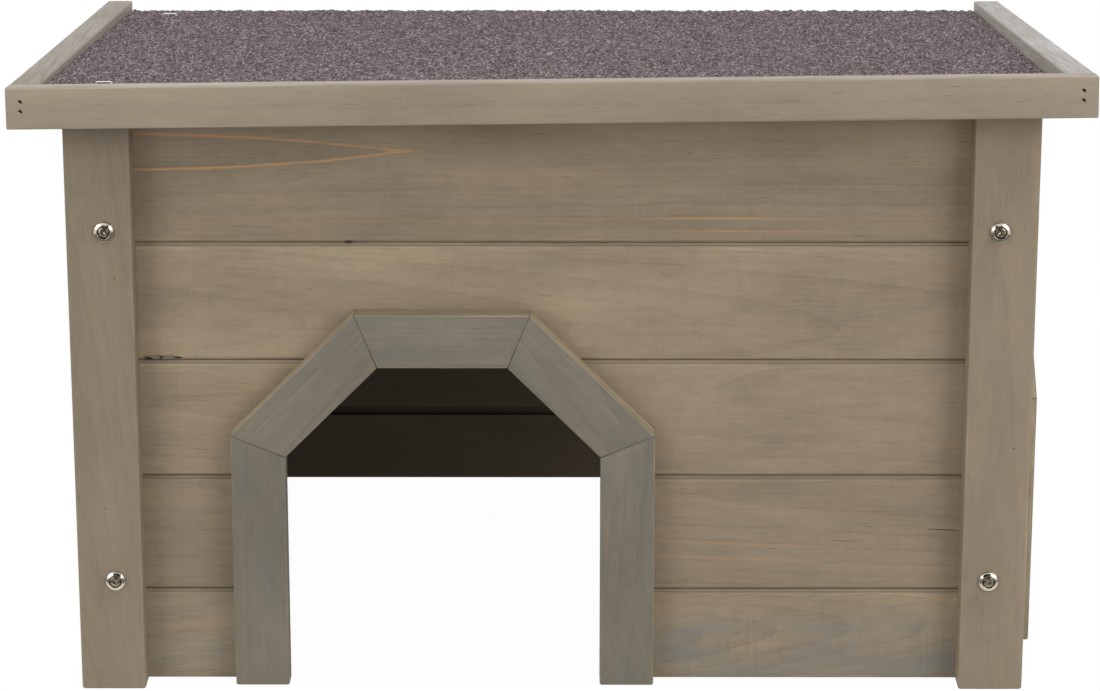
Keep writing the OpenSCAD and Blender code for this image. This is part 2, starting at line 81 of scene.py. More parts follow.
class HideoutSizes(bpy.types.PropertyGroup):
    """Sizes of the details that the frame's boxes don't give."""
    groove: length("Groove", "Width of the V between two planks on the outer face", 3.0)
    inner_joint: length("Inner joint", "Width of the open joint on the inner face", 6.0)
    tongue: length("Tongue", "Height of a tongue", 6.0)
    tongue_thickness: length("Tongue thickness", "Thickness of a tongue", 4.0)
    tongue_gap: length("Tongue gap", "Gap on each side of a tongue", 0.3)
    entrance_lap: length("Entrance lap", "How far the planks are cut back behind an entrance frame", 2.0)
    post_round: length("Post rounding", "Radius of a post's long outer edges", 1.5)
    frame_round: length("Frame rounding", "Radius of a frame member's long outer edges", 1.0)
    trim_round: length("Trim rounding", "Radius of a roof trim's long edges", 1.3)
    trim_height: length("Trim height", "Height of a roof trim", 24.0)
    trim_thickness: length("Trim thickness", "Thickness of a roof trim", 17.0)
    trim_drop: length("Trim drop", "Depth of the trims below the roof board", 3.0)
    board_thickness: length("Roof board", "Thickness of the roof board", 12.0)
    felt_thickness: length("Felt", "Thickness of the felt", 3.0)
    granule: length("Granule", "Size of the granules on the felt", 2.0)
    seat_gap: length("Seat gap", "Gap between the walls and the closed roof", 0.3)
    roof_skew: length("Roof skew", "How much higher the front trim's right end is than its left end", 7.0)
    roof_slope: bpy.props.FloatProperty(name="Roof slope", description="Fall of the roof to the back",
                                        default=math.radians(5), subtype="ANGLE", unit="ROTATION")
    growth_ring: length("Growth ring", "Width of a growth ring in the boards", 4.5)


class HideoutColours(bpy.types.PropertyGroup):
    """Colours of the finishes."""
    planks: colour("Planks", "Stain on the planks", "#95856E")
    posts: colour("Posts", "Stain on the posts", "#92836E")
    frames: colour("Frames", "Stain on the entrance frames", "#7D7666")
    trims: colour("Trims", "Stain on the roof trims", "#8F826F")
    # Pale edges are stain rubbed thin, and also painted highlight on lips and arrises and painted light on shaded
    # bevels and upward sides
    rubbed_and_lit_edges: colour("Rubbed edges", "Stain rubbed thin on edges", "#B0A084")
    # The trims' paler tops are painted sheen and light from above, stronger on the right trim's top
    painted_sheen_tops: colour("Weathered tops", "Stain bleached on the trims' tops", "#A79D91")
    painted_sheen_right_top: colour("Bleached top", "Stain bleached more on the right trim's top", "#ADABA9")
    bare_wood: colour("Bare wood", "Wood without stain", "#B89A72")
    streaks: colour("Streaks", "Summer wood that shows through the stain", "#C79A68")
    felt: colour("Felt", "Granules on the felt", "#7D7073")
    screws: colour("Screws", "Plating of the screws", "#A89A84")
    nickel: colour("Nickel", "Plating of the washers", "#CEC8B6")
    zinc: colour("Zinc", "Plating of the hinges", "#94938E")
    wire: colour("Wire", "Staples of white galvanised wire", "#F0F0EC")


def settings():
    """The scene's sizes in millimetres as a plain dictionary, and its colours."""
    sizes = bpy.context.scene.hideout_sizes
    keys = [k for k in HideoutSizes.__annotations__ if k != "roof_slope"]
    values = {k: getattr(sizes, k) / MM for k in keys}
    values["roof_slope"] = sizes.roof_slope
    return values, bpy.context.scene.hideout_colours


def box(node):
    """Lowest and highest corner of a frame node, in millimetres."""
    return [np.array(corner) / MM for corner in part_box(node)]


# Materials


def add_node(tree, kind, inputs=None, **choices):
    """Adds a shader node, makes its choices, sets or links its inputs, and returns its outputs."""
    node = tree.nodes.new("ShaderNode" + kind)
    for key, value in choices.items():
        setattr(node, key, value)
    for key, value in (inputs or {}).items():
        if isinstance(value, bpy.types.NodeSocket):
            tree.links.new(value, node.inputs[key])
        else:
            node.inputs[key].default_value = value
    return node.outputs


def new_material(name):
    """An empty node material, and the function that adds nodes to it."""
    material = bpy.data.materials.new(name)
    material.use_nodes = True
    material.node_tree.nodes.clear()
    return material, partial(add_node, material.node_tree)


def shaded(rgb, factor=1.0):
    """A linear colour made darker or lighter by a factor, with full alpha."""
    return tuple(min(1.0, c * factor) for c in rgb) + (1.0,)


# Patches in pine: length along the grain and width across it in millimetres, detail and roughness. Real fibres
# and pores are finer: these are drawn as coarse as they need to be to show
PINE_PATCHES = {
    "mottle": (11, 5, 4, 0.7),     # blotches of stain, which also make the rings waver
    "drift": (170, 26, 2, 0.5),    # the rings' slow drift along a board
    "fibre": (45, 1.4, 4, 0.65),   # fibres, with finer ones in them
    "cloud": (95, 30, 3, 0.5),     # clouds where the stain lies thicker
    "pore": (14, 0.9, 1, 0.5),     # short dark pores
    "chatter": (1.8, 26, 2, 0.5),  # planer marks across the grain
    "cast": (70, 16, 2, 0.5),      # a cooler and a warmer cast by turns
    "fade": (130, 60, 1, 0.5),     # where the orange lines come and go
}


def stained_pine(name, stain, rubbed, *, wear_and_light_strength, tint, contrast, pore_start=0.70):
    """Planed pine with a thin grey stain.

    The eye sees fine fibre streaks, soft growth rings, faint planer marks across the grain, cloudy patches where
    the stain lies thicker, orange lines where hard summer wood took little of it, and pale edges: partly stain
    rubbed through, partly painted highlight on arrises and lips, painted light on bevels and sides that lie in
    shade, and painted sheen on the trims' tops. All of it is cut from one solid pattern: the point attribute grain
    gives each board's place in its tree, in millimetres. Edge is above 0 on rubbed edges and painted light and
    below 0 in its joints and painted shade, tone is its own shade with painted shade on some boards, figure is how
    wild the grain is, and streak shows orange lines.
    """
    values, colours = settings()
    ring = values["growth_ring"]
    material, add = new_material(name)
    grain = add("Attribute", attribute_name="grain")["Vector"]
    edge, tone, figure, streak = (
        add("Attribute", attribute_name=key)["Fac"] for key in ("edge", "tone", "figure", "streak"))
    patch = {}
    for key, (run, width, detail, roughness) in PINE_PATCHES.items():
        place = add("VectorMath", {0: grain, 1: (1 / run, 1 / width, 1 / width)}, operation="MULTIPLY")[0]
        patch[key] = add("TexNoise", {"Vector": place, "Scale": 1.0, "Detail": detail, "Roughness": roughness})[0]
    mottle, fibre, cloud = patch["mottle"], patch["fibre"], patch["cloud"]

    # Growth rings: distance from the pith, which drifts by 3 mm and by 26 mm more where the figure is wild. A ring
    # wavers by up to 1.5 mm on the face at whatever slant it meets it
    reach = add("Math", {0: figure, 1: 26.0, 2: 3.0}, operation="MULTIPLY_ADD")[0]
    drift = add("Math", {0: patch["drift"], 1: 0.5}, operation="SUBTRACT")[0]
    drift = add("Math", {0: drift, 1: reach}, operation="MULTIPLY")[0]
    shift = add("CombineXYZ", {"Y": drift})[0]
    across = add("VectorMath", {0: grain, 1: (0.0, 1.0, 1.0), 2: shift}, operation="MULTIPLY_ADD")[0]
    radius = add("VectorMath", {0: across}, operation="LENGTH")["Value"]
    sideways = add("SeparateXYZ", {0: across})["Y"]
    sideways = add("Math", {0: sideways}, operation="ABSOLUTE")[0]
    slant = add("Math", {0: sideways, 1: radius}, operation="DIVIDE")[0]
    slant = add("Math", {0: slant, 1: 0.02}, operation="MAXIMUM")[0]
    waver = add("Math", {0: mottle, 1: 3.0, 2: -1.5}, operation="MULTIPLY_ADD")[0]
    radius = add("Math", {0: waver, 1: slant, 2: radius}, operation="MULTIPLY_ADD")[0]
    count = add("Math", {0: radius, 1: ring}, operation="DIVIDE")[0]
    season = add("Math", {0: count}, operation="FRACT")[0]
    year = add("Math", {0: count}, operation="FLOOR")[0]
    late = add("Math", {0: season, 1: 4.0}, operation="POWER")[0]

    # Tone of the stain, from thick and dark to thin and pale: a share of each pattern about a middle of 0.5
    chatter = add("Math", {0: patch["chatter"], 1: 0.5}, operation="SUBTRACT")[0]
    marks = add("Math", {0: figure, 1: 0.6, 2: 0.14 * contrast}, operation="MULTIPLY_ADD")[0]
    bite = add("Math", {0: figure, 1: -0.22, 2: -0.12 * contrast}, operation="MULTIPLY_ADD")[0]
    level = 0.5 - 0.825 * contrast
    for part, share in ((fibre, 0.5 * contrast), (chatter, marks), (cloud, 0.75 * contrast),
                        (mottle, 0.4 * contrast), (late, bite)):
        level = add("Math", {0: part, 1: share, 2: level}, operation="MULTIPLY_ADD")[0]
    thin = add("MapRange", {"Value": level, "From Min": 0.15, "From Max": 0.85})[0]

    # A cooler cast in places, stronger where the figure is wild
    cast = add("Math", {0: figure, 1: 0.2, 2: patch["cast"]}, operation="MULTIPLY_ADD")[0]
    cool = add("MapRange", {"Value": cast, "From Min": 0.45, "From Max": 0.75})[0]
    share = add("Math", {0: figure, 1: 0.9, 2: tint}, operation="MULTIPLY_ADD")[0]
    cool = add("Math", {0: cool, 1: share}, operation="MULTIPLY")[0]
    grey = shaded((1.0, 1.03, 0.97), 0.8 * sum(stain) / 3)

    # Orange lines on two rings in four, about 1.5 mm wide and ragged on the face. They fade in and out on a calm
    # figure, and show wherever the streak is
    inside = add("Math", {0: season, 1: -ring, 2: ring}, operation="MULTIPLY_ADD")[0]
    inside = add("Math", {0: inside, 1: slant}, operation="DIVIDE")[0]
    inside = add("Math", {0: mottle, 1: 2.4, 2: inside}, operation="MULTIPLY_ADD")[0]
    orange = add("MapRange", {"Value": inside, "From Min": 3.1, "From Max": 2.1})[0]
    turn = add("Math", {0: year, 1: 1.0}, operation="ADD")[0]
    turn = add("Math", {0: turn, 1: 4.0}, operation="MODULO")[0]
    chosen = add("Math", {0: turn, 1: 0.5, 2: 0.6}, operation="COMPARE")[0]
    shown = add("MapRange", {"Value": patch["fade"], "From Min": 0.54, "From Max": 0.70, "To Max": 0.35})[0]
    calm = add("Math", {0: figure, 1: -1.4, 2: 1.0}, operation="MULTIPLY_ADD", use_clamp=True)[0]
    shown = add("Math", {0: shown, 1: calm}, operation="MULTIPLY")[0]
    shown = add("Math", {0: shown, 1: streak}, operation="MAXIMUM")[0]
    for part in (chosen, shown):
        orange = add("Math", {0: orange, 1: part}, operation="MULTIPLY")[0]

    # Pores, pale edges where the stain is cloudy, from rubbing and from painted light and sheen, and dark joints with
    # painted shade in them
    pores = add("MapRange", {
        "Value": patch["pore"], "From Min": pore_start, "From Max": pore_start + 0.1, "To Max": 0.45})[0]
    wear_and_painted_light = add("Math", {0: edge, 1: cloud}, operation="MULTIPLY")[0]
    wear_and_painted_light = add("Math", {0: wear_and_painted_light, 1: 2 * wear_and_light_strength}, operation="MULTIPLY", use_clamp=True)[0]
    lift = add("MapRange", {"Value": fibre, "To Min": -0.1, "To Max": 2.1})[0]
    sanded_and_lit = add("VectorMath", {0: tuple(rubbed), "Scale": lift}, operation="SCALE")[0]
    sunk = add("Math", {0: edge, 1: -0.85}, operation="MULTIPLY", use_clamp=True)[0]

    # The colours, laid one over the other
    skin, dark = shaded(stain, 0.78), shaded(stain, 0.35)
    for part, paint in ((thin, shaded(stain, 1.24)), (cool, grey), (orange, shaded(colours.streaks)), (pores, dark),
                        (wear_and_painted_light, sanded_and_lit), (sunk, dark)):
        skin = add("Mix", {0: part, 6: skin, 7: paint}, data_type="RGBA")[2]
    skin = add("VectorMath", {0: skin, "Scale": tone}, operation="SCALE")[0]

    rough = add("MapRange", {"Value": fibre, "To Min": 0.45, "To Max": 0.7})[0]
    relief = add("Math", {0: late, 1: 0.3, 2: fibre}, operation="MULTIPLY_ADD")[0]
    bump = add("Bump", {"Height": relief, "Strength": 0.25, "Distance": 0.25 * MM})[0]
    shader = add("BsdfPrincipled", {"Base Color": skin, "Roughness": rough, "Normal": bump, "IOR": 1.5})[0]
    add("OutputMaterial", {"Surface": shader})
    return material


def mineral_felt(name, granules):
    """Bitumen felt strewn with crushed slate.

    The eye sees a dull purple grey of close granules, each of its own tone, with dark gaps between them and here
    and there a pale face that catches the light, painted on as a glint. The point attribute lift is how high a
    granule stands, and the colour is painted darker where it is low and lighter where it is high, as painted shade
    and light. Granules and flecks are drawn a little coarser than real grit, so that they show.
    """
    granule_size, fleck_size, bend_size, bend_reach = (size * MM for size in (1.35, 1.1, 3.0, 1.6))
    material, add = new_material(name)
    place = add("TexCoord")["Object"]
    bend = add("TexNoise", {"Vector": place, "Scale": 1 / bend_size, "Detail": 2.0})["Color"]
    bent = add("VectorMath", {0: bend, 1: (bend_reach,) * 3, 2: place}, operation="MULTIPLY_ADD")[0]
    bent = add("VectorMath", {0: bent, 1: (1.0, 0.75, 1.0)}, operation="MULTIPLY")[0]
    cell = add("TexVoronoi", {"Vector": bent, "Scale": 1 / granule_size})
    tone = add("SeparateColor", {0: cell["Color"]})[0]
    tone = add("MapRange", {"Value": tone, "To Min": 0.2, "To Max": 1.85})[0]
    # Painted shade and light: the colour darkens where a granule stands low and lightens where it stands high
    lift = add("Attribute", attribute_name="lift")["Fac"]
    height_shade_and_light = add("MapRange", {"Value": lift, "To Min": -0.1, "To Max": 2.05})[0]
    tone = add("Math", {0: tone, 1: height_shade_and_light}, operation="MULTIPLY")[0]
    skin = add("VectorMath", {0: tuple(granules), "Scale": tone}, operation="SCALE")[0]
    fleck = add("TexNoise", {"Vector": bent, "Scale": 1 / fleck_size, "Detail": 2.0})[0]
    fleck = add("MapRange", {"Value": fleck, "From Min": 0.57, "From Max": 0.68, "To Max": 0.8})[0]
    gap = add("MapRange", {"Value": cell["Distance"], "From Min": 0.25, "From Max": 0.75, "To Max": 0.75})[0]
    for part, paint in ((fleck, shaded(granules, 2.1)), (gap, shaded(granules, 0.28))):
        skin = add("Mix", {0: part, 6: skin, 7: paint}, data_type="RGBA")[2]
    bump = add("Bump", {"Height": cell["Distance"], "Strength": 0.7, "Distance": 0.6 * MM}, invert=True)[0]
    shader = add("BsdfPrincipled", {
        "Base Color": skin, "Roughness": 0.85, "Normal": bump, "Specular IOR Level": 0.3})[0]
    add("OutputMaterial", {"Surface": shader})
    return material


def plated_steel(name, plating, rough, wear_size):
    """Plated steel, pressed or rolled.

    The eye sees bright reflections, a little uneven, with duller specks of handling and painted shade in the
    hollows, where the point attribute edge is below 0. The wear's size is in millimetres.
    """
    material, add = new_material(name)
    place = add("TexCoord")["Object"]
    speck = add("TexNoise", {"Vector": place, "Scale": 1 / (wear_size * MM), "Detail": 3.0})[0]
    edge = add("Attribute", attribute_name="edge")["Fac"]
    # Where edge is below 0 the plating is painted dark, as shade in the hollows
    painted_hollow_shade = add("Math", {0: edge, 1: -0.9}, operation="MULTIPLY", use_clamp=True)[0]
    skin = shaded(plating, 0.8)
    for part, paint in ((speck, shaded(plating, 1.08)), (painted_hollow_shade, shaded(plating, 0.12))):
        skin = add("Mix", {0: part, 6: skin, 7: paint}, data_type="RGBA")[2]
    dull = add("MapRange", {"Value": speck, "To Min": rough * 0.7, "To Max": rough * 1.4})[0]
    shader = add("BsdfPrincipled", {"Base Color": skin, "Metallic": 1.0, "Roughness": dull})[0]
    add("OutputMaterial", {"Surface": shader})
    return material


def hole_with_painted_shade(name, rim):
    """A small hole or split: the eye sees it nearly black, painted as the shade inside it, with a paler rim where the
    fibres broke, where the point attribute edge is 1."""
    material, add = new_material(name)
    edge = add("Attribute", attribute_name="edge")["Fac"]
    skin = add("Mix", {0: edge, 6: shaded(linear("#1E1812")), 7: shaded(linear(rim))}, data_type="RGBA")[2]
    shader = add("BsdfPrincipled", {"Base Color": skin, "Roughness": 0.9, "Specular IOR Level": 0.1})[0]
    add("OutputMaterial", {"Surface": shader})
    return material


# Surfaces


def mesh_piece(name, points, faces, attributes, material, body, nodes=(), smooth=35):
    """Makes one closed mesh from points in millimetres, turns its faces outwards and hands it to the frame."""
    mesh = bpy.data.meshes.new(name)
    mesh.from_pydata((np.asarray(points) * MM).tolist(), [], faces)
    for key, values in attributes.items():
        values = np.asarray(values, np.float32)
        if values.ndim == 2:
            mesh.attributes.new(key, "FLOAT_VECTOR", "POINT").data.foreach_set("vector", values.ravel())
        else:
            mesh.attributes.new(key, "FLOAT", "POINT").data.foreach_set("value", values)
    work = bmesh.new()
    work.from_mesh(mesh)
    bmesh.ops.recalc_face_normals(work, faces=work.faces)
    work.to_mesh(mesh)
    work.free()
    mesh.materials.append(material)
    mesh.shade_smooth()
    mesh.set_sharp_from_angle(angle=math.radians(smooth))
    piece = bpy.data.objects.new(name, mesh)
    bpy.context.scene.collection.objects.link(piece)
    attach(piece, body)
    if nodes:
        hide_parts(*nodes)
    return piece


def tube_faces(rows, columns):
    """Faces of a closed tube, a grid of rows whose columns close on themselves: the four-sided ones as one array,
    and its two ends as another."""
    row, column = np.meshgrid(np.arange(rows - 1) * columns, np.arange(columns), indexing="ij")
    after = (column + 1) % columns
    sides = np.stack([row + column, row + after, row + columns + after, row + columns + column], -1)
    ends = np.arange(columns) + np.array([[0], [(rows - 1) * columns]])
    return sides.reshape(-1, 4), ends


def joined(tubes):
    """Points and faces of several tubes as one mesh: each tube's faces count on from the points before it."""
    starts = np.cumsum([0] + [len(points) for points, _ in tubes])
    blocks = [(block + start).tolist() for start, (_, faces) in zip(starts, tubes) for block in faces]
    return np.concatenate([points for points, _ in tubes]), sum(blocks, [])


ARC_POINTS = 5


def corner(middle, radius, first, last):
    """Points of an arc about a middle, from one angle to another in degrees."""
    angle = np.radians(np.linspace(first, last, ARC_POINTS))
    return np.stack([middle[0] + radius * np.cos(angle), middle[1] + radius * np.sin(angle)], -1)


def rounded_outline(width, depth, radius, inner_radius, arris=1.0, far_side=0.0, inner_face=0.0, planer_line=0.0):
    """A bar's outline as (across, depth) with its edge values: the outer face is at depth 0 and the inner face at the
    full depth, each with its own corner radius. The edge value reaches arris in the middle of the outer arcs,
    far_side on the side at the full width, inner_face on the inner face and planer_line on a line along the outer
    face."""
    ramp = np.linspace(0, 1, ARC_POINTS)
    bow = arris * np.sin(np.pi * ramp)
    line_at = 0.72 * width
    parts = (
        (corner((radius, radius), radius, 180, 270), bow),
        ([(line_at - 0.5, 0.0), (line_at, 0.0), (line_at + 0.5, 0.0)], (0.0, planer_line, 0.0)),
        (corner((width - radius, radius), radius, 270, 360), np.maximum(bow, far_side * ramp ** 2)),
        (corner((width - inner_radius, depth - inner_radius), inner_radius, 0, 90),
         np.maximum(0.4 * bow, far_side + ramp * (inner_face - far_side))),
        (corner((inner_radius, depth - inner_radius), inner_radius, 90, 180),
         np.maximum(0.4 * bow, inner_face * (1 - ramp))),
    )
    places, edges = zip(*parts)
    return np.concatenate(places), np.concatenate(edges)


def plank_outline(low, high, thickness, first, last, values, extra):
    """A tongue-and-groove plank's outline as (height, depth) with its edge values. A pale lip below the top arris is
    painted highlight, the dark line at that arris and the darker top bevel are painted shade of the joint, the lower
    bevel is paler as painted light against its shade, the first row's foot is pale with wear, and the tongue and
    inner joint are dark. The first row has no groove below and the last no tongue above. Extra heights put points
    on both faces. Top points are marked, so that they can follow the roof."""
    v, i = values["groove"] / 2, values["inner_joint"] / 2
    t, slack = values["tongue"], values["tongue_gap"]
    a = (thickness - values["tongue_thickness"]) / 2
    b = thickness - a
    # Height, depth, edge value and mark of each point: under the plank, up its outer face, over its top and down
    # Under the plank: 0.5 on the first row's foot is wear, and on the other rows' lower bevel painted light against
    # its shade
    below = [(low, thickness, 0, 0), (low, 0, 0.5, 0)] if first else [
        (low + i, thickness, 0, 0), (low + i, b + slack, -1, 0), (low + t, b + slack, -1, 0),
        (low + t, a - slack, -1, 0), (low, a - slack, -1, 0), (low, v, 0.5, 0), (low + v, 0, 0.5, 0),
        (low + v + 0.5, 0, 0, 0), (low + v + 2.4, 0, 0, 0)]
    face = [(z, 0, 0, 0) for z in extra]
    # Over the top: 0.25 and 0.6 paint a highlight on the lip, -0.7, -0.15 and -0.2 paint the joint's shade, -1 marks
    # the dark tongue
    above = [(high, 0, 0, 1), (high, thickness, 0, 1)] if last else [
        (high - v - 9, 0, 0, 0), (high - v - 2.4, 0, 0.25, 0), (high - v - 0.6, 0, 0.6, 0),
        (high - v - 0.3, 0, -0.7, 0), (high - v + 0.3, 0.3, -0.7, 0), (high - v + 0.6, 0.6, -0.15, 0),
        (high, v, -0.2, 0), (high, a, -1, 0), (high + t, a, -1, 0), (high + t, b, -1, 0),
        (high - i, b, -1, 0), (high - i, thickness, 0, 0)]
    back = [(z, thickness, 0, 0) for z in reversed(extra)]
    table = np.array(below + face + above + back, float)
    return table[:, :2], table[:, 2], table[:, 3]


TRUNK_STEP = 731.0  # how far apart the boards lie along the trunk that they are cut from


def tree_place(seed, along, across, depth, pith=None):
    """A board's place in its tree: its own offset along the trunk, and the pith's distance across and behind the
    face, both leaning a little along the board. A pith that is given may have its distance behind the face as a
    function of the place along."""
    pick = np.random.default_rng(seed)
    side, behind = pick.uniform(-50, 50), pick.uniform(28, 95)
    lean, dive = pick.uniform(-0.035, 0.035), pick.uniform(-0.05, 0.05)
    middle = (across.min() + across.max()) / 2
    if pith:
        middle = 0.0
        side, behind, lean, dive = pith
        behind = behind(along) if callable(behind) else behind
    return np.stack([along + TRUNK_STEP * seed, across - middle - side - lean * along,
                     depth + behind + dive * along], -1)


def carry(name, outline, edge, starts, ends, place, material, body, slot, seed, *, ease=0.5, rise=0.0, cut=None,
          tone=1.0, end_edge=(0.5, 0.5), stations=7, pith=None, figure=None, streak=None):
    """Carries an outline along a straight path.

    Each point of the outline runs from its own start to its own end, so that an end may be square, sloped or
    mitred. The two ends are rounded over by a quarter circle: at the angle t the outline shrinks by ease (1 - sin t)
    on every side and lies ease (1 - cos t) from the end. Points may also rise along the path, as under a sloping
    roof, and a cut folds the end on its side along a line between two points of the outline.
    """
    origin, along_axis, across_axis, depth_axis = (np.asarray(p, float) for p in place)
    starts, ends = (np.broadcast_to(end, len(outline)) for end in (starts, ends))
    middle, half = (outline.max(0) + outline.min(0)) / 2, np.ptp(outline, axis=0) / 2
    inward = (middle - outline) / half
    first_ease, last_ease = np.broadcast_to(ease, 2)
    t = np.radians([0, 30, 60, 90])
    along_end, across_end, plain = 1 - np.cos(t), 1 - np.sin(t), np.zeros(stations - 2)
    share = np.concatenate([np.zeros(len(t)), np.linspace(0, 1, stations)[1:-1], np.ones(len(t))])[:, None]
    slide = np.concatenate([first_ease * along_end, plain, -last_ease * along_end[::-1]])[:, None]
    inset = np.concatenate([first_ease * across_end, plain, last_ease * across_end[::-1]])[:, None]
    along = starts + share * (ends - starts) + slide
    section = outline + inset[..., None] * inward
    across = section[:, :, 0] + rise * along
    depth = section[:, :, 1]
    points = (origin + along[..., None] * along_axis + across[..., None] * across_axis
              + depth[..., None] * depth_axis).reshape(-1, 3)
    sides, (first, last) = tube_faces(*along.shape)
    caps = [first, last]
    if cut:
        end, low, high = cut
        whole, folded = (first, last) if end > 0 else (last, first)
        caps = [whole, folded[low:high + 1], np.concatenate([folded[high:], folded[:low + 1]])]
    faces = sides.tolist() + [cap.tolist() for cap in caps]
    at_end = np.where(inset > 0, np.where(share < 0.5, end_edge[0], end_edge[1]), 0.0)
    shade = np.where(edge < 0, np.minimum(edge, at_end), np.where(at_end < 0, at_end, np.maximum(edge, at_end)))
    shade[0], shade[-1] = np.minimum(end_edge, 0.0)
    attributes = {
        "grain": tree_place(seed, along, across, depth, pith).reshape(-1, 3),
        "edge": shade.reshape(-1),
        "tone": np.broadcast_to(tone(along) if callable(tone) else tone, along.shape).reshape(-1),
    }
    for key, pattern in (("figure", figure), ("streak", streak)):
        attributes[key] = (pattern(along, across) if pattern else np.zeros(along.shape)).reshape(-1)
    return mesh_piece("wood_" + name, points, faces, attributes, material, body, [name])


def revolve(profile, places, axis, steps, turned=None, torn=0.0):
    """Turns a profile of (radius, height) round an axis and copies it to each place, as a list of tubes. Heights
    run along the axis; turned may lower the height at each radius and angle, and a torn profile's radius swells
    and shrinks round it by that share."""
    profile, axis = np.asarray(profile, float), np.asarray(axis, float)
    angle = np.linspace(0, 2 * np.pi, steps, endpoint=False)
    radius = profile[:, 0][:, None] * (1 + torn * np.cos(2 * angle - 1.2) + 0.5 * torn * np.cos(3 * angle))
    height = profile[:, 1][:, None] + np.zeros(steps)
    if turned:
        height = height - turned(radius, angle, height)
    side = np.cross(axis, (0.0, 0.0, 1.0)) if abs(axis[2]) < 0.9 else np.array((1.0, 0.0, 0.0))
    side = side / np.linalg.norm(side)
    up = np.cross(side, axis)
    one = ((radius * np.cos(angle))[..., None] * side + (radius * np.sin(angle))[..., None] * up
           + height[..., None] * axis).reshape(-1, 3)
    return [(one + place, tube_faces(*radius.shape)) for place in np.asarray(places, float)]


# The house


def roof_axes(values):
    """Origin and axes of the roof's flat frame: y back along the slope from the posts' front face, z up
    from the board's underside."""
    slope = values["roof_slope"]
    low, high = box("front_post_left")
    top = high[2] + values["seat_gap"] / math.cos(slope)
    return (np.array([0, low[1], top]), np.array([1.0, 0, 0]),
            np.array([0, math.cos(slope), -math.sin(slope)]), np.array([0, math.sin(slope), math.cos(slope)]))


def roof_extent(values):
    """Front and back of the roof board in the roof's flat frame, and its width."""
    low, high = box("roof_board")
    origin, slope = roof_axes(values)[0], values["roof_slope"]
    front = (low[1] - origin[1]) / math.cos(slope)
    back = (high[1] - origin[1] - values["board_thickness"] * math.sin(slope)) / math.cos(slope)
    return front, back, high[0] - low[0]


def under_roof(y, values, gap):
    """Height of the walls' top below the roof board at a place along Y, a gap away from the board."""
    origin = roof_axes(values)[0]
    return origin[2] - (y - origin[1]) * math.tan(values["roof_slope"]) - gap / math.cos(values["roof_slope"])


def entrance(wall, sides):
    """Middle along the wall, half width, height of the elbow and of the head, and width of the members, from the
    boxes of an entrance's frame."""
    axis = 0 if wall == "front" else 1
    low, high = box(f"{wall}_frame_leg_{sides[0]}")
    far = box(f"{wall}_frame_leg_{sides[1]}")[0][axis]
    head = box(f"{wall}_frame_head")[0][2]
    width = high[axis] - low[axis]
    return (high[axis] + far) / 2, (far - high[axis]) / 2, high[2] - width * MITRE, head, width


# Tones of the front planks at their left and right ends; the top plank's lower tone is painted shade under the roof
# trim
PLANK_TONES = {
    "front_plank_5": (0.92, 0.93), "front_plank_4": (1.13, 1.05), "front_plank_3_left": (1.04, 1.04),
    "front_plank_3_right": (1.03, 1.03), "front_plank_2_left": (0.95, 0.95), "front_plank_2_right": (0.97, 0.97),
    "front_plank_1_left": (1.05, 1.05), "front_plank_1_right": (1.03, 1.05),
}


def loop_pith(along):
    """Distance of the pith behind the top front plank: the loop's ring leaves the face slowly at the
    loop's tip and opens towards the left end, by 1.25 mm of depth times 1 - exp(-t squared)."""
    tip, stretch, at_tip, opening = -81.0, 100, 58.497, 1.25
    t = (tip - along) / stretch
    return at_tip - opening * np.sign(t) * (1 - np.exp(-t ** 2))


def window(low, high, soft, peak, floor=-1000.0, ceiling=1000.0):
    """A function that is peak between two places along a board and falls to 0 within a soft distance, and
    that is 0 below the floor and above the ceiling across the board."""
    return lambda along, across: (peak * np.clip((along - low) / soft, 0, 1) * np.clip((high - along) / soft, 0, 1)
                                  * ((across > floor) & (across < ceiling)))


def top_plank_streak(along, across):
    """Where the top front plank shows orange lines: on its loop, and faintly on a band below it, with a stronger
    stretch right of the middle."""
    parts = (window(-270, -66, 12, 0.75, 302), window(-260, 290, 60, 0.2, 276, 292),
             window(50, 150, 30, 0.4, 276, 292))
    return sum(part(along, across) for part in parts)


# Planks with a figure of their own: the pith's place across, behind the face, and how both lean along the board,
# the figure, the orange streaks, and heights with points on the face
FIGURED_PLANKS = {
    "front_plank_5": {"pith": (324.3, loop_pith, 0.0, 0.0), "streak": top_plank_streak, "stations": 120,
                      "heights": [278.0, 290.0, 294.0, 300.0, 304.0]},
    "front_plank_1_left": {"figure": window(-400, 400, 10, 0.3)},
    "front_plank_1_right": {"pith": (24.0, 9.0, 0.05, 0.10), "figure": window(20, 420, 60, 0.62, -10, 32),
                            "stations": 40, "heights": [12.0, 16.0, 30.0, 44.0]},
}


